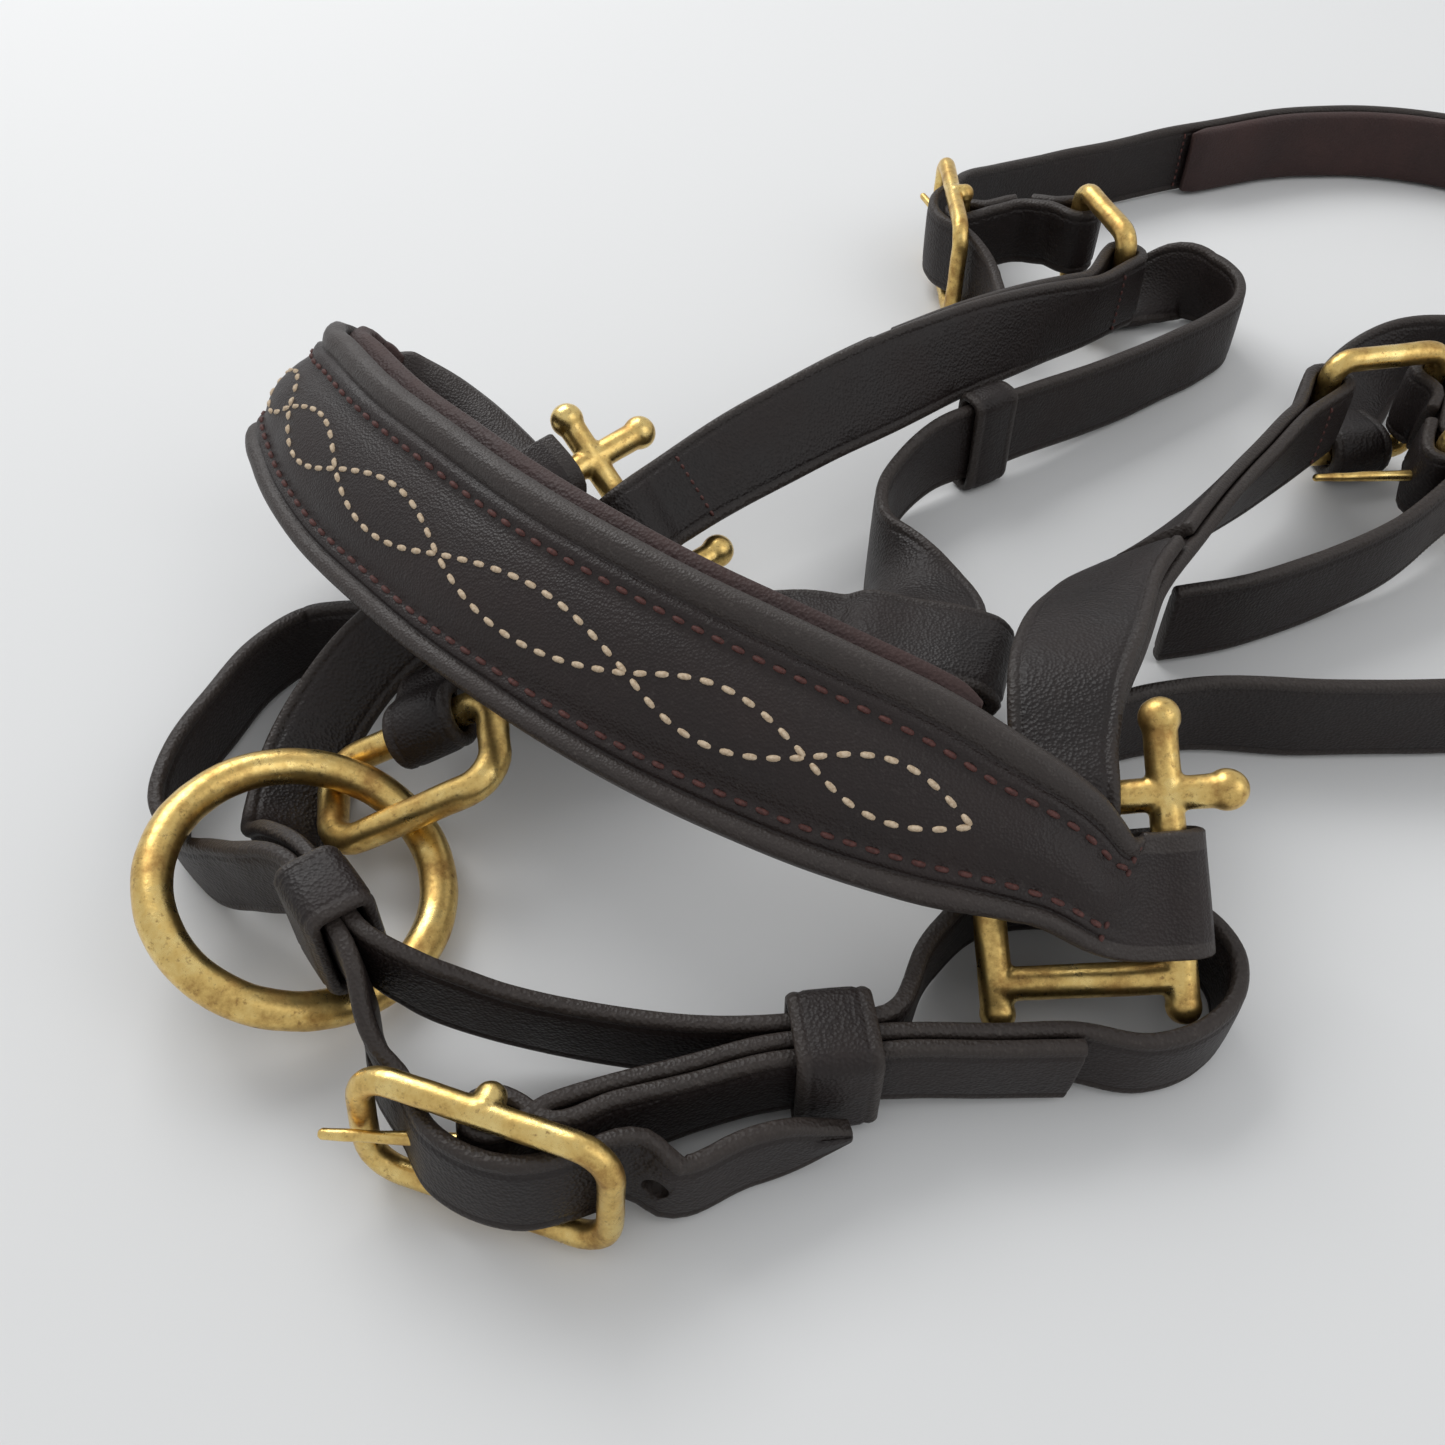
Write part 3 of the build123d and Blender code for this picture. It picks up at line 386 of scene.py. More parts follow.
def throat_path():
    """Throatlatch from the lower bar of one upper ring to that of the other."""
    up = Vector((0, 0, 1))
    ends = []
    for ring, side in ((LEFT_UPPER, 1), (RIGHT_UPPER, -1)):
        bar = ring.at(0, -UPPER_PITCH / 2, 0)
        away = ring.way(0, 0, side)
        heading, lean = angles(ring.way(side, 0, 0))
        flat = (heading % 360, lean, THROAT_EYE_WIDTH)
        r = UPPER_BAR / 2 + BAR_GAP + LEATHER / 2
        fold = turn(bar, up * -side, away * -1, r, (0, 0, 0, *flat), -5, 185)
        tail = [row(bar + away * 5.4 + up * 3.9, *flat), row(bar + away * 10 + up * 2.9, *flat)]
        lead = row(bar + away * 8.5 - up * 3.4, *flat)
        ends.append((fold[::-1], tail, lead) if side > 0 else (fold, tail, lead))
    rows = [(*r, THROAT_WIDTH) for r in THROAT]
    rows[0] = (*THROAT[0], 18)
    (fold_a, tail_a, lead_a), (fold_b, tail_b, lead_b) = ends
    if fold_a[0][2] < fold_a[-1][2]:
        fold_a = fold_a[::-1]
    if fold_b[0][2] > fold_b[-1][2]:
        fold_b = fold_b[::-1]
    return grounded(smooth(tail_a[::-1] + fold_a + [lead_a] + rows + [lead_b] + fold_b + tail_b))


CROWN = [
    (80, 400.5, 12.6, 180, 0), (97, 411, 11, 120, 0), (120, 420.5, 11, 110, 0), (147, 431.5, 11, 105, 0),
    (188, 444, 11, 90, 0), (224, 441, 11, 70, 0), (254, 424, 11, 50, 0), (275, 396, 11, 20, 0),
    (281, 362, 11.5, 0, 0), (272, 330, 13, -30, 0), (256, 308, 15.4, -45, 0), (236, 294, 16.6, -60, 0),
    (215, 285, 16.2, -60, 0), (200.5, 277.5, 16.1, -55, 0), (182.9, 265.1, 16.1, -48, 0),
    (168.2, 252.4, 15.8, -48, 0), (150, 238, 13.0, -50, 0), (130, 228, 11, -60, 0),
    (112, 220.5, 11, -60, 0), (96, 216.8, 11, -70, 0),
]
CROWN = [(*r, CROWN_WIDTH) for r in CROWN]


def crown_path():
    """From the tip at the left crown buckle, over the far side, to the tip past the right one."""
    left = [row(CROWN_BUCKLE.at(x, y, 0) + Vector((0, 0, z)), 180, 0, CROWN_WIDTH) for x, y, z in (
        (-37, -9.5, -4.6), (-29, -8.6, -3.6), (-20, -5.2, -1.0), (-13, -1.5, 0), (-7, 3.2, 0), (0, 5.0, 0),
        (7, 3.2, 0), (13, -1.9, 0), (20, -6.0, -1.0))]
    return grounded(smooth(left + CROWN))


def chape(bar_a, bar_b, size_a, size_b, middle, width):
    """Short folded strap on edge between two upright bars."""
    core = smooth([(*p, 0, 0, width) for p in middle], 2.5)
    return folded(core, ((bar_a, size_a, core[0]), (bar_b, size_b, core[-1])))


# ---------------------------------------------------------------- meshes
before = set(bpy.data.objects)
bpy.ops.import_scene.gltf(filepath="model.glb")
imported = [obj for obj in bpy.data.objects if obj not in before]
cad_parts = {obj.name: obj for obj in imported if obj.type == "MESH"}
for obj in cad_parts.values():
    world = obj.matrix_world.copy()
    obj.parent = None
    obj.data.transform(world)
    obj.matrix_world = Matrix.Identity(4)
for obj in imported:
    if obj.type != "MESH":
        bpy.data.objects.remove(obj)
rest_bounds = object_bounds()
low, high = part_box("chin_ring")
RING_CENTRE = (Vector(low) + Vector(high)) / 2
SHIFT = CHIN_RING.origin - RING_CENTRE * 1000


def place(point):
    """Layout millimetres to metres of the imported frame."""
    return (point - SHIFT) * 0.001


def build(name, verts, faces, material, body, worn=None):
    """A smooth-shaded mesh object that rides on a CAD body."""
    mesh = bpy.data.meshes.new(name)
    mesh.from_pydata([place(v) for v in verts], [], faces)
    if worn:
        layer = mesh.attributes.new("wear", "FLOAT", "POINT")
        layer.data.foreach_set("value", worn)
    mesh.polygons.foreach_set("use_smooth", [True] * len(mesh.polygons))
    work = bmesh.new()
    work.from_mesh(mesh)
    bmesh.ops.recalc_face_normals(work, faces=work.faces)
    work.to_mesh(mesh)
    work.free()
    mesh.materials.append(material)
    obj = bpy.data.objects.new(name, mesh)
    bpy.context.scene.collection.objects.link(obj)
    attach(obj, body)
    return obj


def skin(rings, closed=False):
    """Faces between rings of points, and over both ends of an open run."""
    n, faces = len(rings[0]), []
    count = len(rings) if closed else len(rings) - 1
    for i in range(count):
        a, b = i * n, (i + 1) % len(rings) * n
        faces += [(a + k, a + (k + 1) % n, b + (k + 1) % n, b + k) for k in range(n)]
    if not closed:
        faces += [tuple(range(n))[::-1], tuple(range((len(rings) - 1) * n, len(rings) * n))]
    return faces


noise.seed_set(WANDER_SEED)


def wobble(point, size):
    """A slow unevenness, the same for leather and what lies on it."""
    return noise.noise_vector(point * 0.045) * size


class Line:
    """A strap's path with planes that can be read at any distance along it."""

    def __init__(self, path):
        self.path, self.planes, self.spots = path, frames(path), [0.0]
        for a, b in zip(path, path[1:]):
            self.spots.append(self.spots[-1] + math.dist(a[:3], b[:3]))

    def find(self, spot):
        i = 1
        while i < len(self.spots) - 1 and self.spots[i] < spot:
            i += 1
        return i, (spot - self.spots[i - 1]) / (self.spots[i] - self.spots[i - 1])

    def point(self, spot, x, y):
        i, t = self.find(spot)
        return self.planes[i - 1].at(x, y) * (1 - t) + self.planes[i].at(x, y) * t

    def width(self, spot):
        i, t = self.find(spot)
        return self.path[i - 1][5] * (1 - t) + self.path[i][5] * t


def strap_section(half, thick, crown=0.18, crease=0.28):
    """Points (x, y, wear) round a strap: crowned faces, a crease by each edge, rounded burnished edges."""
    h, narrow = thick / 2, min(1.0, half / 5)
    middle = [(0.0, crown, 0), (0.45 * half, crown * 0.8, 0), (0.72 * half, crown * 0.45, 0)]
    margin = ((3.0, 0.06, 0), (2.5, -crease * 0.6, 0.1), (2.2, -crease, 0.2), (1.9, -crease * 0.5, 0.3),
              (1.4, -0.02, 0.5), (0.8, -0.12, 0.8), (0.3, -0.42, 1.0), (0.04, -h * 0.55, 0.9))
    if half < 10.8:
        middle[2] = (min(0.72 * half, half - 3.2 * narrow), crown * 0.45, 0)
    side = middle + [(half - d * narrow, y, w) for d, y, w in margin]
    front = [(-x, h + y, w) for x, y, w in side[:0:-1]] + [(x, h + y, w) for x, y, w in side]
    back = [(x, -y, w) for x, y, w in front[::-1]]
    return front + [(half, 0.0, 0.7)] + back + [(-half, 0.0, 0.7)]


def run_skin(line, section, lump):
    """Rings of a run with slightly drawn-in ends, and the wear of each point."""
    rings, worn = [], []
    last = len(line.planes) - 1
    for i, plane in enumerate(line.planes):
        ring = section(i)
        grow = [(1.0, 0.0)]
        if i == 0:
            grow = [(0.86, -0.45), (0.96, -0.25), (1.0, 0.0)]
        if i == last:
            grow = [(1.0, 0.0), (0.96, 0.25), (0.86, 0.45)]
        for share, out in grow:
            pts = []
            for x, y, w in ring:
                reach = x - math.copysign(min(abs(x), 3.0) * (1 - share), x)
                p = plane.at(reach, y * share, out)
                pts.append(p + wobble(p, lump))
                worn.append(max(w, 0.8 if share < 1 else 0.0))
            rings.append(pts)
    return rings, worn


def strap(name, path, ribs=None):
    """A leather strap that stands for a CAD node of the same name; `ribs` is a run wrinkled by bending."""
    line = Line(path)

    def section(i):
        points = strap_section(path[i][5] / 2, LEATHER)
        if not ribs or not ribs[0] < line.spots[i] < ribs[1]:
            return points
        share = math.sin(math.pi * (line.spots[i] - ribs[0]) / (ribs[1] - ribs[0]))
        wave = RIB_HEIGHT * share * math.sin(2 * math.pi * line.spots[i] / RIB_PITCH)
        return [(x, y + math.copysign(wave, y), max(w, 0.5 * share + wave)) for x, y, w in points]

    rings, worn = run_skin(line, section, LUMP)
    obj = build(name + "_leather", [p for r in rings for p in r], skin(rings), STRAP_LEATHER, "straps",
                worn)
    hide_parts(name)
    return obj, line


def pierce(obj, line, spots, size=HOLE):
    """Round holes through a strap at distances back from its end."""
    for spot in spots:
        i, _ = line.find(line.spots[-1] - spot)
        plane = line.planes[i]
        steps = [plane.at(0, -6 + k * 1.5) + wobble(plane.origin, LUMP) for k in range(9)]
        verts, faces = tube(steps, size / 2, False, plane.z, 20)
        cutter = build("cutter", verts, faces, STRAP_LEATHER, "straps")
        cut = obj.modifiers.new("hole", "BOOLEAN")
        cut.object, cut.operation, cut.solver = cutter, "DIFFERENCE", "EXACT"
        ready = bpy.data.meshes.new_from_object(obj.evaluated_get(bpy.context.evaluated_depsgraph_get()))
        obj.modifiers.remove(cut)
        obj.data = ready
        bpy.data.objects.remove(cutter)


# ---------------------------------------------------------------- thread
def capsule(a, b, up, radius):
    """One stitch from a to b, its ends dipping into the leather."""
    along = (b - a).normalized()
    side = along.cross(up).normalized()
    up = side.cross(along)
    rings = []
    for t, size, dip in ((0.0, 0.35, 1.0), (0.14, 0.85, 0.4), (0.35, 1.0, 0.0), (0.65, 1.0, 0.0),
                         (0.86, 0.85, 0.4), (1.0, 0.35, 1.0)):
        c = a.lerp(b, t) - up * dip * radius
        rings.append([c + (side * math.cos(k * math.pi / 3) + up * math.sin(k * math.pi / 3)) * radius * size
                      for k in range(6)])
    return rings


def thread(name, stitches, radius, material, body="straps"):
    """One mesh of many stitches, each (from, to, up)."""
    verts, faces = [], []
    for a, b, up in stitches:
        rings = capsule(a, b, up, radius)
        base = len(verts)
        verts += [p for r in rings for p in r]
        faces += [tuple(v + base for v in f) for f in skin(rings)]
    return build(name, verts, faces, material, body)


def stitch_line(points, ups, pitch, share=0.72):
    """Stitches of one pitch along a polyline of surface points."""
    spots = [0.0]
    for a, b in zip(points, points[1:]):
        spots.append(spots[-1] + (b - a).length)

    def read(s):
        i = 1
        while i < len(spots) - 1 and spots[i] < s:
            i += 1
        t = (s - spots[i - 1]) / max(spots[i] - spots[i - 1], 1e-6)
        return points[i - 1].lerp(points[i], t), ups[i]

    count = max(1, round(spots[-1] / pitch))
    step, out = spots[-1] / count, []
    for k in range(count):
        (a, up), (b, _) = read(k * step), read(k * step + step * share)
        out.append((a + wobble(a, LUMP), b + wobble(b, LUMP), up))
    return out


def across(line, spot, side, lift, margin=1.6, pitch=2.1):
    """Stitches across a strap at a distance along it, on its front (1) or back (-1)."""
    half = line.width(spot) / 2 - margin
    points = [line.point(spot, half * (k / 6 - 1), side * lift) for k in range(13)]
    i, _ = line.find(spot)
    return stitch_line(points, [line.planes[i].y * side] * 13, pitch)


# ---------------------------------------------------------------- cast brass
def tube(points, radius, closed, flat_to=None, sides=14):
    """Round bar along points, open ends closed over."""
    rings, count = [], len(points)
    for i, p in enumerate(points):
        if closed:
            ahead = points[(i + 1) % count] - points[i - 1]
        else:
            ahead = points[min(i + 1, count - 1)] - points[max(i - 1, 0)]
        normal = Vector(flat_to) if flat_to is not None else (
            Vector((0, 0, 1)) if abs(ahead.normalized().z) < 0.9 else Vector((1, 0, 0)))
        side = ahead.cross(normal).normalized()
        up = side.cross(ahead).normalized()
        size = radius(i) if callable(radius) else radius
        turns = [2 * math.pi * k / sides for k in range(sides)]
        rings.append([p + (side * math.cos(a) + up * math.sin(a)) * size for a in turns])
    return [p for r in rings for p in r], skin(rings, closed)


def ball(centre, radius):
    """Knob of a casting: a short run of rings."""
    rings = [[centre + Vector((math.cos(2 * math.pi * k / 16) * math.sin(a), math.sin(2 * math.pi * k / 16)
                               * math.sin(a), math.cos(a))) * radius for k in range(16)]
             for a in [math.pi * (0.04 + 0.92 * j / 10) for j in range(11)]]
    return [p for r in rings for p in r], skin(rings)


def bar(a, b, size, steps=10):
    return tube([a.lerp(b, k / steps) for k in range(steps + 1)], size / 2, False)


def loop_points(plane, length, width, corner, step=1.0):
    """Points round a rounded rectangle in the XZ plane of a fitting."""
    out = []
    for cx, cz, start in ((1, 1, 0), (-1, 1, 90), (-1, -1, 180), (1, -1, 270)):
        x, z = cx * (length / 2 - corner), cz * (width / 2 - corner)
        for k in range(7):
            a = math.radians(start + 15 * k)
            out.append(plane.at(x + corner * math.cos(a), 0, z + corner * math.sin(a)))
    full = []
    for a, b in zip(out, out[1:] + out[:1]):
        n = max(1, round((b - a).length / step))
        full += [a.lerp(b, k / n) for k in range(n)]
    return full


def roughen(mesh, fine, broad):
    """Moves every point a little along its normal: fine pitting and a broad unevenness."""
    moved = [(v.co.copy(), v.normal.copy()) for v in mesh.vertices]
    out = []
    for co, normal in moved:
        out += tuple(co + normal * (noise.noise(co * 250) * fine + noise.noise(co * 85) * broad))
    mesh.vertices.foreach_set("co", out)
    mesh.update()


def cast(name, parts, body, voxel=0.42, soften=5):
    """Brass piece: its bars melted into one skin with small fillets."""
    verts, faces = [], []
    for v, f in parts:
        base = len(verts)
        verts += v
        faces += [tuple(k + base for k in face) for face in f]
    raw = build(name + "_raw", verts, faces, BRASS, body)
    melt = raw.modifiers.new("melt", "REMESH")
    melt.mode = "VOXEL"
    melt.voxel_size = voxel * 0.001
    soft = raw.modifiers.new("soften", "SMOOTH")
    soft.factor, soft.iterations = 0.5, soften
    ready = bpy.data.meshes.new_from_object(raw.evaluated_get(bpy.context.evaluated_depsgraph_get()))
    bpy.data.objects.remove(raw)
    roughen(ready, 0.00009, 0.00012)
    ready.polygons.foreach_set("use_smooth", [True] * len(ready.polygons))
    obj = bpy.data.objects.new(name, ready)
    bpy.context.scene.collection.objects.link(obj)
    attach(obj, body)
    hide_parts(name.removesuffix("_brass"))
    return obj


def stop_square(name, plane, foot=0.0):
    half, r = SQUARE_PITCH / 2, SQUARE_BAR / 2
    parts = []
    for side in (-half, half):
        parts.append(bar(plane.at(side, -half - foot), plane.at(side, half + HORN_UP), SQUARE_BAR))
        parts.append(ball(plane.at(side, half + HORN_UP), HORN_END / 2))
        parts.append(ball(plane.at(side, -half - foot), r + 0.2))
        parts.append(ball(plane.at(math.copysign(half + HORN_SIDE, side), half), HORN_END / 2))
    parts.append(bar(plane.at(-half - HORN_SIDE, half), plane.at(half + HORN_SIDE, half), SQUARE_BAR))
    parts.append(bar(plane.at(-half, -half), plane.at(half, -half), SQUARE_BAR))
    return cast(name + "_brass", parts, "straps")


def whole_buckle(name, plane, clear):
    tall = clear + BUCKLE_BAR
    parts = [tube(loop_points(plane, BUCKLE_LENGTH - BUCKLE_BAR, tall, 6.0), BUCKLE_BAR / 2, True, plane.y)]
    for end in (-tall / 2, tall / 2):
        parts.append(bar(plane.at(0, 0, end), plane.at(0, -BUCKLE_BACK, end), PIN_BAR + 1.2))
        parts.append(ball(plane.at(0, -BUCKLE_BACK, end), PIN_BAR / 2 + 0.6))
    parts.append(bar(plane.at(0, -BUCKLE_BACK, -tall / 2), plane.at(0, -BUCKLE_BACK, tall / 2), PIN_BAR))
    return cast(name + "_brass", parts, name)


def half_buckle(name, plane, clear):
    tall = clear + BUCKLE_BAR
    shifted_plane = Plane(plane.at(HALF_LENGTH / 2, 0), plane.x, plane.z)
    loop = loop_points(shifted_plane, HALF_LENGTH, tall, 5.0)
    parts = [tube(loop, BUCKLE_BAR / 2, True, plane.y)]
    return cast(name + "_brass", parts, name)


def tongue(name, plane, pivot, tip):
    """Tapered shank with an eye rolled round its bar."""
    along = (tip - pivot).normalized()
    start = pivot + along * (PIN_BAR / 2 + 0.5)
    steps = 14
    shank = tube([start.lerp(tip, k / steps) for k in range(steps + 1)],
                 lambda i: TONGUE / 2 - 0.45 * i / steps, False, plane.z)
    eye = [pivot + (plane.x * math.cos(a) + plane.y * math.sin(a)) * (PIN_BAR / 2 + 0.95)
           for a in [2 * math.pi * k / 24 for k in range(24)]]
    rings = [tube([p + plane.z * z for p in eye], 0.95, True, plane.z) for z in (-1.15, 0.0, 1.15)]
    return cast(name + "_brass", [shank, ball(tip, TONGUE / 2 - 0.4), *rings], name, 0.34, 3)


def ring_piece(name, points, size, normal):
    """A welded wire ring: its bar swells and wears a little round its length."""
    count = len(points)

    def radius(i):
        return size / 2 * (1 + 0.012 * math.sin(5 * math.pi * i / count))

    verts, faces = tube(points, radius, True, normal, 22)
    obj = build(name + "_brass", verts, faces, BRASS, name)
    roughen(obj.data, 0.00010, 0.00014)
    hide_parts(name)
    return obj


def keeper(name, plane, thick, wide, length=14.0, leather=2.4):
    """Leather loop: a rounded band with its joint at the back."""
    path = loop_points(Plane(plane.origin, plane.x, -plane.y), thick + leather, wide + leather, 2.2, 0.9)
    rings, worn, count = [], [], len(path)
    section = strap_section(length / 2, leather, 0.1, 0.2)
    centre = plane.origin
    for i, p in enumerate(path):
        ahead = (path[(i + 1) % count] - path[i - 1]).normalized()
        out_way = ahead.cross(plane.z).normalized()
        if out_way.dot(p - centre) < 0:
            out_way = -out_way
        pts = [p + plane.z * x + out_way * y for x, y, _ in section]
        rings.append([q + wobble(q, LUMP) for q in pts])
        worn += [w for _, _, w in section]
    obj = build(name + "_leather", [p for r in rings for p in r], skin(rings, True), STRAP_LEATHER, name,
                worn)
    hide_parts(name)
    return obj


# ---------------------------------------------------------------- finishes
def node(tree, kind, **values):
    made = tree.nodes.new(kind)
    for key, value in values.items():
        if hasattr(made, key) and key not in made.inputs:
            setattr(made, key, value)
        else:
            made.inputs[key].default_value = value
    return made


def ramp(tree, source, stops):
    """Colour ramp fed by a value."""
    made = tree.nodes.new("ShaderNodeValToRGB")
    while len(made.color_ramp.elements) < len(stops):
        made.color_ramp.elements.new(0.5)
    for element, (spot, colour) in zip(made.color_ramp.elements, stops):
        element.position = spot
        element.color = (*colour, 1) if len(colour) == 3 else (*colour * 3, 1)
    tree.links.new(source, made.inputs["Fac"])
    return made


def blank(name, roughness, metallic=0.0):
    material = bpy.data.materials.new(name)
    material.use_nodes = True
    tree = material.node_tree
    shader = tree.nodes["Principled BSDF"]
    shader.inputs["Roughness"].default_value = roughness
    shader.inputs["Metallic"].default_value = metallic
    shader.inputs["Specular IOR Level"].default_value = 0.5 if metallic else 0.34
    spot = tree.nodes.new("ShaderNodeTexCoord").outputs["Object"]
    return material, tree, shader, spot


def textured(tree, spot, kind, scale, **values):
    made = node(tree, kind, **values)
    made.inputs["Scale"].default_value = scale
    tree.links.new(spot, made.inputs["Vector"])
    return made


def mixed(tree, factor, a, b, mode="MIX"):
    """Colour mix; a and b are sockets or colours, factor a socket or number."""
    made = tree.nodes.new("ShaderNodeMix")
    made.data_type = "RGBA"
    made.blend_type = mode
    for socket, value in ((made.inputs["Factor"], factor), (made.inputs[6], a), (made.inputs[7], b)):
        if isinstance(value, bpy.types.NodeSocket):
            tree.links.new(value, socket)
        else:
            socket.default_value = (*value, 1) if isinstance(value, tuple) else value
    return made.outputs[2]


def maths(tree, operation, a, b):
    made = tree.nodes.new("ShaderNodeMath")
    made.operation = operation
    for socket, value in zip(made.inputs, (a, b)):
        if isinstance(value, bpy.types.NodeSocket):
            tree.links.new(value, socket)
        else:
            socket.default_value = value
    return made.outputs[0]


def leather(name, dark, light, edge, rough, grain=0.34, scale=1500):
    """Grained leather: slow colour drift, pores, scuffs, and paler worn edges where `wear` is high."""
    material, tree, shader, spot = blank(name, rough)
    drift = textured(tree, spot, "ShaderNodeTexNoise", 55, Detail=4.0, Roughness=0.6)
    base = ramp(tree, drift.outputs["Fac"], ((0.32, dark), (0.7, light)))
    scuff = textured(tree, spot, "ShaderNodeTexNoise", 900, Detail=6.0, Roughness=0.75)
    spots = ramp(tree, scuff.outputs["Fac"], ((0.56, (0.0,)), (0.72, (1.0,))))
    wear = tree.nodes.new("ShaderNodeAttribute")
    wear.attribute_name = "wear"
    patchy = maths(tree, "MULTIPLY_ADD", spots.outputs["Color"], 0.75)
    rubbed = maths(tree, "MULTIPLY", wear.outputs["Fac"], patchy)
    colour = mixed(tree, rubbed, base.outputs["Color"], edge)
    dust = maths(tree, "MULTIPLY", spots.outputs["Color"], 0.30)
    colour = mixed(tree, dust, colour, edge)
    tree.links.new(colour, shader.inputs["Base Color"])
    tone = ramp(tree, drift.outputs["Fac"], ((0.3, (rough - 0.08,)), (0.75, (rough + 0.1,))))
    tree.links.new(tone.outputs["Color"], shader.inputs["Roughness"])
    pores = textured(tree, spot, "ShaderNodeTexVoronoi", scale)
    creases = textured(tree, spot, "ShaderNodeTexNoise", 420, Detail=5.0, Roughness=0.6)
    height = maths(tree, "ADD", pores.outputs["Distance"], creases.outputs["Fac"])
    bump = node(tree, "ShaderNodeBump", Strength=grain, Distance=0.0006)
    tree.links.new(height, bump.inputs["Height"])
    tree.links.new(bump.outputs["Normal"], shader.inputs["Normal"])
    return material


def brass(name):
    """Aged brass: golden, dulled and browned in patches, finely pitted."""
    material, tree, shader, spot = blank(name, 0.3, 1.0)
    patch = textured(tree, spot, "ShaderNodeTexNoise", 120, Detail=8.0, Roughness=0.7)
    fine = textured(tree, spot, "ShaderNodeTexNoise", 900, Detail=5.0, Roughness=0.7)
    gold = ramp(tree, patch.outputs["Fac"], ((0.36, (0.42, 0.25, 0.08)), (0.5, (0.72, 0.50, 0.17)),
                                             (0.66, (0.86, 0.66, 0.27))))
    marks = ramp(tree, fine.outputs["Fac"], ((0.30, (1.0,)), (0.44, (0.0,))))
    colour = mixed(tree, maths(tree, "MULTIPLY", marks.outputs["Color"], 0.7), gold.outputs["Color"],
                   (0.20, 0.11, 0.045))
    tree.links.new(colour, shader.inputs["Base Color"])
    tone = ramp(tree, patch.outputs["Fac"], ((0.35, (0.46,)), (0.62, (0.24,))))
    tree.links.new(tone.outputs["Color"], shader.inputs["Roughness"])
    bump = node(tree, "ShaderNodeBump", Strength=0.16, Distance=0.0004)
    tree.links.new(fine.outputs["Fac"], bump.inputs["Height"])
    tree.links.new(bump.outputs["Normal"], shader.inputs["Normal"])
    return material


def cotton(name, pale, deep):
    """Waxed thread."""
    material, tree, shader, spot = blank(name, 0.62)
    twist = textured(tree, spot, "ShaderNodeTexNoise", 1800, Detail=3.0)
    colour = ramp(tree, twist.outputs["Fac"], ((0.35, deep), (0.65, pale)))
    tree.links.new(colour.outputs["Color"], shader.inputs["Base Color"])
    return material


STRAP_LEATHER = leather("strap_leather_grain", dark=(0.0075, 0.0046, 0.0042), light=(0.0145, 0.0088, 0.0078),
                        edge=(0.050, 0.040, 0.034), rough=0.50)
PANEL_LEATHER = leather("panel_leather_grain", dark=(0.0085, 0.0045, 0.0042), light=(0.0150, 0.0078, 0.0070),
                        edge=(0.066, 0.056, 0.050), rough=0.47, grain=0.28, scale=1900)
LINING_LEATHER = leather("lining_leather_grain", dark=(0.026, 0.0115, 0.0105), light=(0.044, 0.021, 0.019),
                         edge=(0.075, 0.045, 0.040), rough=0.60)
BRASS = brass("aged_brass")
CREAM_THREAD = cotton("cream_thread", (0.62, 0.50, 0.36), (0.42, 0.31, 0.20))
RED_THREAD = cotton("oxblood_thread", (0.105, 0.038, 0.032), (0.055, 0.020, 0.017))


# ---------------------------------------------------------------- noseband
def station_spot(line, station):
    """Distance along a line of the station nearest a layout point."""
    spots = zip(line.spots, line.path)
    return min(spots, key=lambda pair: math.dist(pair[1][:3], station[:3]))[0]


nose_line = Line(smooth(noseband_path(), FINE))
PANEL_FROM = station_spot(nose_line, NOSE[0])
PANEL_TO = station_spot(nose_line, NOSE[13])
CUSHION_FROM = station_spot(nose_line, NOSE[2])
EDGE_ROLL = 4.4          # width of the rolled edge outside the crease
THREAD_IN = 6.8          # distance of the stitch rows from the lower edge
PANEL_EDGE = 8.8         # where the padded middle begins to rise
PANEL_RISE = 1.5
TOP_IN = 2.8             # the front stops short of the lining at the top
TOP_STRETCH = 1.32       # the upper roll is this much wider than the lower


def eased(value):
    value = min(max(value, 0.0), 1.0)
    return value * value * (3 - 2 * value)


def dressed(spot):
    """Share of the noseband's full build at a distance along it: none at the folds."""
    return eased((spot - PANEL_FROM + 2) / 9) * eased((PANEL_TO + 2 - spot) / 9)


def nose_height(d):
    """How far the front stands out from the base leather, at a distance in from an edge."""
    if d < EDGE_ROLL:
        return 0.2 + 1.35 * math.sin(math.pi * min(d / EDGE_ROLL, 1)) ** 0.8
    if d < THREAD_IN - 0.9:
        return 0.2 + 0.9 * eased((d - EDGE_ROLL) / 0.8)
    if d < PANEL_EDGE:
        return 1.1 - 0.4 * math.sin(math.pi * (d - THREAD_IN + 0.9) / (PANEL_EDGE - THREAD_IN + 0.9))
    return 1.1 + PANEL_RISE * (1 - math.exp(-(d - PANEL_EDGE) / 3.2))


def nose_margins(half, share):
    """Lower and upper edge of the front, and how much the margins narrow where the strap does."""
    return -half, half - TOP_IN * share, min(1.0, half / 17)


def nose_x(half, share, d, top):
    """Place across the strap at a distance in from the lower or upper edge."""
    low_edge, high_edge, scale = nose_margins(half, share)
    return high_edge - d * scale * TOP_STRETCH if top else low_edge + d * scale


def nose_front(x, half, share):
    """How far the front stands out at a place across the strap."""
    low_edge, high_edge, scale = nose_margins(half, share)
    d = min((x - low_edge) / scale, (high_edge - x) / scale / TOP_STRETCH)
    return BASE / 2 + nose_height(max(d, 0.0)) * share


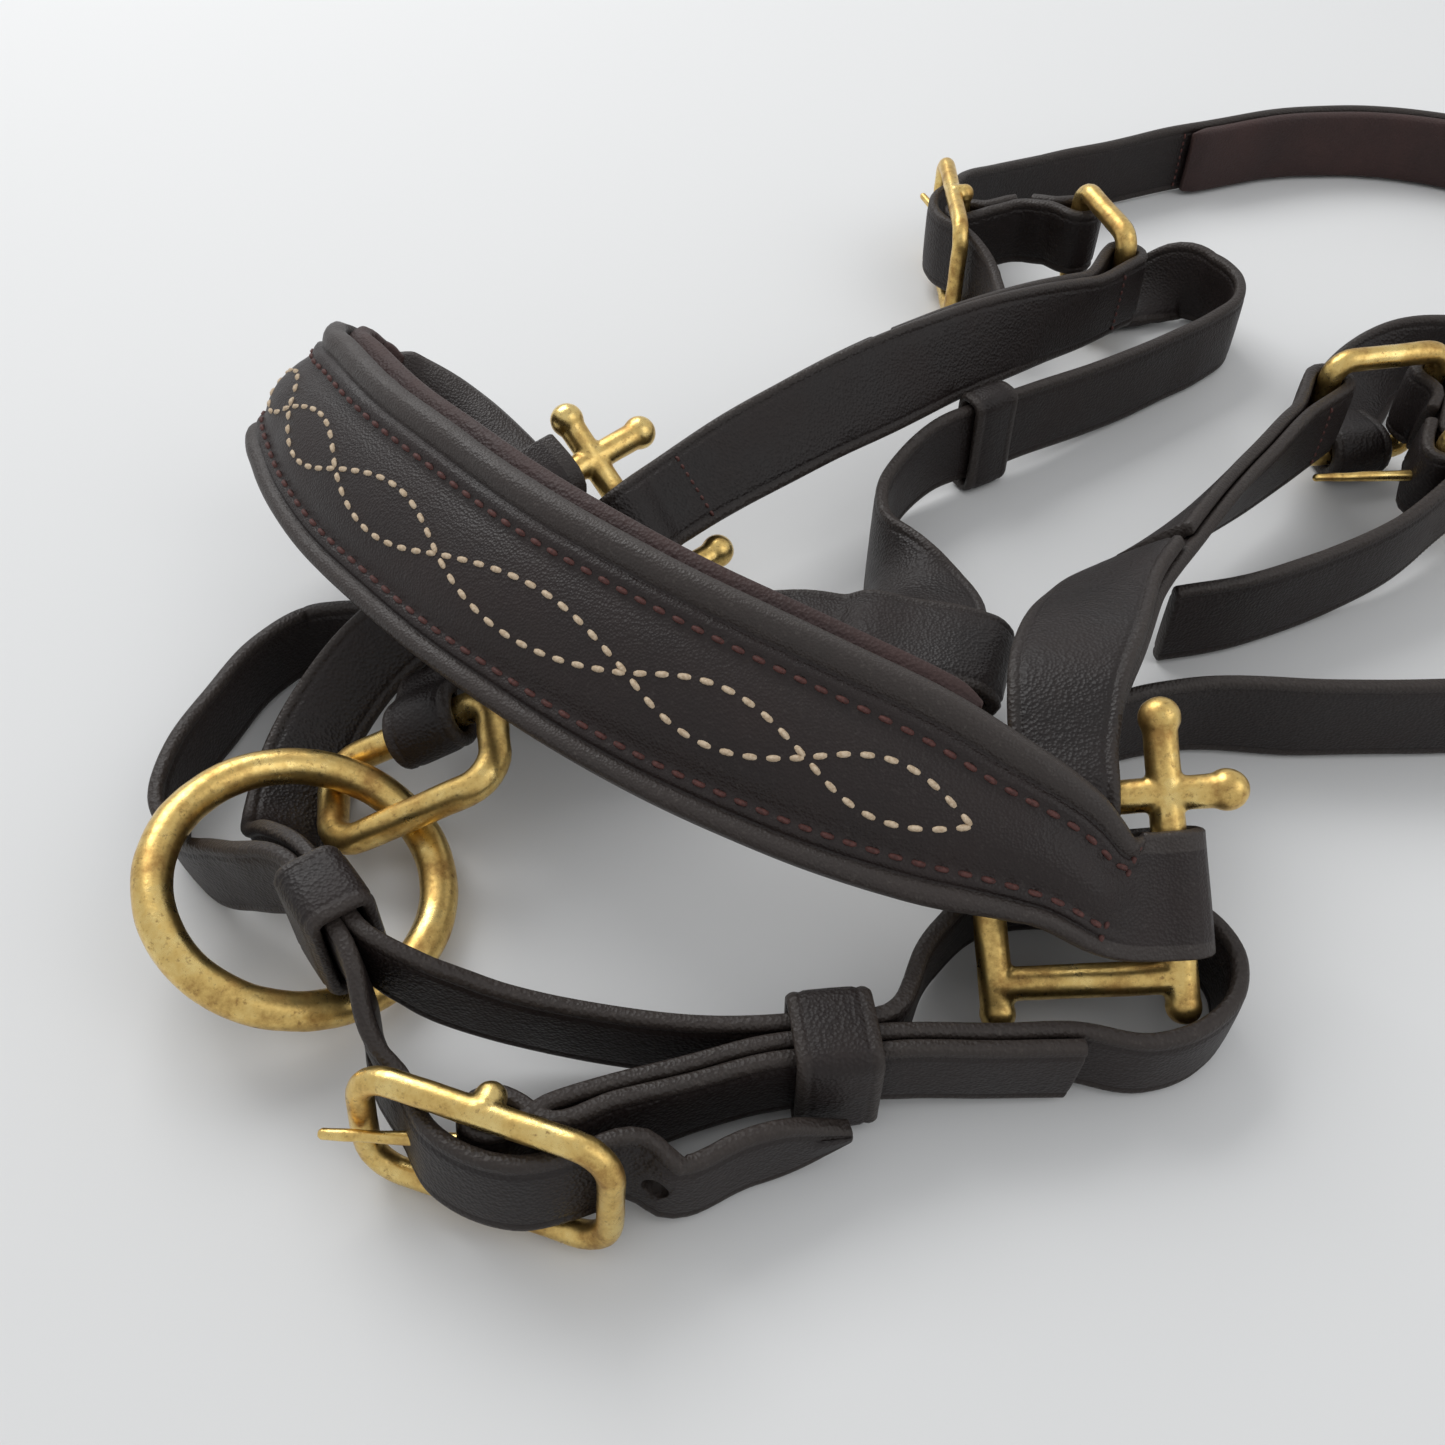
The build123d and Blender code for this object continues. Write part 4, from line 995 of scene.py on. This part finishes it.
def nose_section(i):
    half, share = nose_line.path[i][5] / 2, dressed(nose_line.spots[i])
    ds = (0.0, 0.3, 0.8, 1.4, 2.2, 3.0, 3.7, 4.1, 4.4, 4.7, 5.2, 5.9, 6.4, 6.9, 7.4, 8.0, 8.8, 9.8, 11.0)
    low_edge, high_edge, scale = nose_margins(half, share)
    room = (high_edge - low_edge) / (1 + TOP_STRETCH) / scale / ds[-1] * 0.98
    sides = []
    for top in (False, True):
        side = []
        for d in ds:
            inside = d * min(1.0, room)
            x = nose_x(half, share, inside, top)
            lift = nose_front(x, half, share) if d > 0.5 else BASE / 2 * (0.1 + 2 * d)
            wear = 1.0 if d < 1 else 0.8 if d < 4.2 else 0.12
            side.append((x, -lift, wear))
        sides.append(side)
    between = [(sides[0][-1][0] * (1 - t) + sides[1][-1][0] * t, t) for t in (0.2, 0.4, 0.6, 0.8)]
    middle = [(x, -nose_front(x, half, share), 0.1) for x, _ in between]
    top_y = BASE / 2
    back = [(high_edge - 0.8, top_y, 0.6), (half * 0.5, top_y, 0), (0, top_y, 0), (-half * 0.5, top_y, 0),
            (low_edge + 0.8, top_y, 0.6)]
    return sides[0] + middle + sides[1][::-1] + back


rings, worn = run_skin(nose_line, nose_section, LUMP)
noseband = build("noseband_front", [p for r in rings for p in r], skin(rings), PANEL_LEATHER, "straps",
                 worn)
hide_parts("noseband_base", "noseband_panel")


def cushion_section(half, low_y, high_y, share):
    """Padded roll behind a strap: flat towards it, full and round behind."""
    points = []
    middle = (low_y + high_y) / 2
    depth = (high_y - low_y) / 2
    for k in range(44):
        a = 2 * math.pi * k / 44
        c, s = math.cos(a), math.sin(a)
        x = math.copysign(abs(c) ** 0.34, c) * half
        y = middle + math.copysign(abs(s) ** 0.62, s) * depth
        points.append((x * (0.9 + 0.1 * share), middle + (y - middle) * share, 0.35 if abs(c) > 0.8 else 0.0))
    return points


def cushion(name, line, first, last, low_y, high_y, material, slot, *nodes):
    """Lining drawn over padding, with small creases where the strap bends inwards."""
    keep = [i for i, s in enumerate(line.spots) if first <= s <= last]
    part = Line([line.path[i] for i in keep])
    total = part.spots[-1]

    def section(i):
        s = part.spots[i]
        share = 0.35 + 0.65 * math.sqrt(eased(s / 5) * eased((total - s) / 5) + 1e-6)
        bend = part.planes[max(i - 3, 0)].z.dot(part.planes[min(i + 3, len(keep) - 1)].z)
        tight = min(1.0, (1 - bend) * 5)
        wrinkle = 0.55 * tight * max(0.0, math.sin(s * 1.55)) ** 2
        full = 0.22 * noise.noise(Vector((s * 0.09, 3.1, 0)))
        return cushion_section(part.path[i][5] / 2 - 0.25, low_y, high_y + full - wrinkle, share)

    rings, worn = run_skin(part, section, LUMP)
    obj = build(name, [p for r in rings for p in r], skin(rings), material, "straps", worn)
    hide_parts(*nodes)
    return obj


cushion("noseband_cushion", nose_line, CUSHION_FROM, PANEL_TO, BASE / 2 + 0.3,
        BASE / 2 + 2 * LAYER_GAP + PAD + LINING + 0.2, LINING_LEATHER, "lining_leather", "noseband_pad",
        "noseband_lining")

# two stitch rows by the edges, and one across the panel near its first end
def on_front(spot, x, sink=0.0):
    half, share = nose_line.width(spot) / 2, dressed(spot)
    return nose_line.point(spot, x, -nose_front(x, half, share) + sink)


def front_way(spot):
    """Direction out of the front at a distance along the noseband."""
    return nose_line.planes[nose_line.find(spot)[0]].y * -1


rows = []
for top in (False, True):
    spots = [PANEL_FROM + 3 + k * 1.5 for k in range(int((PANEL_TO - PANEL_FROM - 5) / 1.5))]
    points = [on_front(s, nose_x(nose_line.width(s) / 2, dressed(s), THREAD_IN, top), -0.15) for s in spots]
    rows += stitch_line(points, [front_way(s) for s in spots], 3.9, 0.7)
rows += across(nose_line, PANEL_FROM + 2.5, -1, BASE / 2 + 0.3, 2.0, 2.2)
thread("noseband_edge_thread", rows, 0.52, RED_THREAD)

# chain of leaves in pale thread along the middle of the panel
LEAF_ENDS = (61.4, 90.3, 123.3, 167.9, 203.0, 229.9, 247.0)
LEAF_HALF = 5.0
LEAF_LOW = 2.5           # the chain runs this far below the middle of the strap

pale = []
for first, last in zip(LEAF_ENDS, LEAF_ENDS[1:]):
    for sign in (-1, 1):
        spots = [first + (last - first) * k / 20 for k in range(21)]
        points = [on_front(s, -LEAF_LOW * dressed(s) + sign * LEAF_HALF * math.sin(math.pi * k / 20))
                  for k, s in enumerate(spots)]
        pale += stitch_line(points, [front_way(s) for s in spots], 3.9, 0.74)
thread("noseband_leaf_thread", pale, 0.56, CREAM_THREAD)


# ---------------------------------------------------------------- straps
def fine(path):
    """A path resampled at the spacing of the shown sections."""
    return smooth(path, FINE)


chin_strap, chin_line = strap("chin_strap", grounded(fine(chin_path())))
pierce(chin_strap, chin_line, (33, 68 + HOLE_PITCH))
strap("jowl_strap", fine(jowl_strap()))
_, throat_line = strap("throatlatch", grounded(fine(throat_path())))
crown = Line(grounded(smooth(crown_path(), FINE / 2)))
flexed = station_spot(crown, CROWN[14]) - 6, station_spot(crown, CROWN[16])
_, crown_line = strap("crown_strap", crown.path, flexed)
cross = []
for name, path in cheekpieces().items():
    _, line = strap(name, path)
    total = line.spots[-1]
    for spot in (0.30, 0.70):
        cross += across(line, total * spot, 1, LEATHER / 2 + 0.12)
        cross += across(line, total * spot, -1, LEATHER / 2 + 0.12)

pin = CROWN_BUCKLE.at(0, -BUCKLE_BACK, 0)
heel = HALF_BUCKLE.origin
left = LEFT_UPPER.at(UPPER_PITCH / 2, 0, 0)
right = RIGHT_UPPER.at(UPPER_PITCH / 2, 0, 0)
strap("left_crown_chape", chape(pin, left, PIN_BAR, UPPER_BAR, [
    (pin.x + 8, pin.y, 17.0), (84, 373, 18.2), (left.x - 7.5, left.y + 3.2, 19.8)], CHAPE_WIDTH))
strap("right_crown_chape", chape(heel, right, PIN_BAR, UPPER_BAR, [
    (heel.x + 0.8, heel.y + 8, 17.0), (169.2, 274, 18.2), (right.x - 0.7, right.y - 8, 19.8)], CHAPE_WIDTH))

lining_from, lining_to = station_spot(crown_line, CROWN[3]), station_spot(crown_line, CROWN[9])
cushion("crown_cushion", crown_line, lining_from, lining_to, LEATHER / 2 + 0.3,
        LEATHER / 2 + 2 * LAYER_GAP + CROWN_PAD + LINING, LINING_LEATHER, "lining_leather", "crown_pad",
        "crown_lining")
cross += across(crown_line, lining_from - 2, 1, LEATHER / 2 + 0.12)
cross += across(crown_line, lining_to + 2, 1, LEATHER / 2 + 0.12)
thread("cross_thread", cross, 0.38, RED_THREAD)

keeper("left_chin_keeper", LEFT_KEEPER, 2 * LEATHER + PLY_GAP + 1.2, CHIN_WIDTH + 0.8)
keeper("right_chin_keeper", RIGHT_KEEPER, 3 * LEATHER + 2 * PLY_GAP + 1.8, CHIN_WIDTH + 0.8)
keeper("throatlatch_keeper", THROAT_KEEPER, LEATHER + 1.2, THROAT_WIDTH + 1.2, 12.0, 2.2)

# ---------------------------------------------------------------- fittings
stop_square("right_stop_square", RIGHT_SQUARE, 5.0)
stop_square("left_stop_square", LEFT_SQUARE)
whole_buckle("chin_buckle_frame", CHIN_BUCKLE, CHIN_WIDTH + 0.8)
whole_buckle("left_crown_buckle_frame", CROWN_BUCKLE, CROWN_WIDTH + 0.8)
half_buckle("right_crown_buckle_frame", HALF_BUCKLE, CROWN_WIDTH + 1.6)
reach = BUCKLE_LENGTH / 2 - BUCKLE_BAR / 2
for name, plane, far in (("chin_buckle_tongue", CHIN_BUCKLE, reach + 4),
                         ("left_crown_buckle_tongue", CROWN_BUCKLE, reach + 3)):
    tongue(name, plane, plane.at(0, -BUCKLE_BACK), plane.at(far, far * SHANK_SLOPE - BUCKLE_BACK))
tongue("right_crown_buckle_tongue", HALF_BUCKLE, HALF_BUCKLE.at(0, 0), HALF_BUCKLE.at(-28 * 0.97, 28 * 0.16))

ring_piece("chin_ring", [CHIN_RING.at(RING_RADIUS * math.cos(a), RING_RADIUS * math.sin(a))
                         for a in [2 * math.pi * k / 150 for k in range(150)]], RING_BAR, CHIN_RING.z)
flat_link = Plane(CHIN_LINK.origin, CHIN_LINK.x, CHIN_LINK.y * -1)
link_points = loop_points(flat_link, LINK_LENGTH, LINK_WIDTH, LINK_CORNER, 0.8)
ring_piece("chin_link", link_points, LINK_BAR, CHIN_LINK.z)
for name, plane in (("left_upper_ring", LEFT_UPPER), ("right_upper_ring", RIGHT_UPPER)):
    lying = Plane(plane.origin, plane.x, plane.y * -1)
    ring_piece(name, loop_points(lying, UPPER_PITCH, UPPER_PITCH, UPPER_CORNER, 0.8), UPPER_BAR, plane.z)

# ---------------------------------------------------------------- table, light and camera
FLOOR = bpy.data.materials.new("table_paper")
FLOOR.use_nodes = True
FLOOR.node_tree.nodes["Principled BSDF"].inputs["Base Color"].default_value = (0.70, 0.705, 0.705, 1)
FLOOR.node_tree.nodes["Principled BSDF"].inputs["Roughness"].default_value = 0.75
table_mesh = bpy.data.meshes.new("table")
table_mesh.from_pydata([(-4, -4, 0), (4, -4, 0), (4, 6, 0), (-4, 6, 0)], [], [(0, 1, 2, 3)])
table_mesh.materials.append(FLOOR)
table = bpy.data.objects.new("table", table_mesh)
table.location.z = rest_bounds[0].z - 0.0002
bpy.context.scene.collection.objects.link(table)

world = bpy.data.worlds.new("studio")
bpy.context.scene.world = world
world.use_nodes = True
world.node_tree.nodes["Background"].inputs["Color"].default_value = (0.975, 0.985, 1.0, 1)
world.node_tree.nodes["Background"].inputs["Strength"].default_value = 0.66
bpy.context.scene.view_settings.view_transform = "Standard"


def softbox(name, spot, target, size, power):
    lamp = bpy.data.lights.new(name, "AREA")
    lamp.shape, lamp.size, lamp.size_y, lamp.energy = "RECTANGLE", size[0], size[1], power
    obj = bpy.data.objects.new(name, lamp)
    obj.location = spot
    obj.rotation_euler = (Vector(target) - Vector(spot)).to_track_quat("-Z", "Y").to_euler()
    bpy.context.scene.collection.objects.link(obj)
    return obj


softbox("window", (-0.55, 0.75, 0.95), (0, 0, 0), (0.9, 0.7), 9)
softbox("fill", (0.9, -0.5, 1.0), (0, 0, 0), (1.0, 1.0), 3)

lens = bpy.data.cameras.new("camera")
lens.lens, lens.sensor_width, lens.clip_start = 34.6, 36, 0.01
camera = bpy.data.objects.new("camera", lens)
camera.location = place(Vector((0, 0, 220)))
camera.rotation_euler = (math.radians(42), 0, 0)
bpy.context.scene.collection.objects.link(camera)
bpy.context.scene.camera = camera
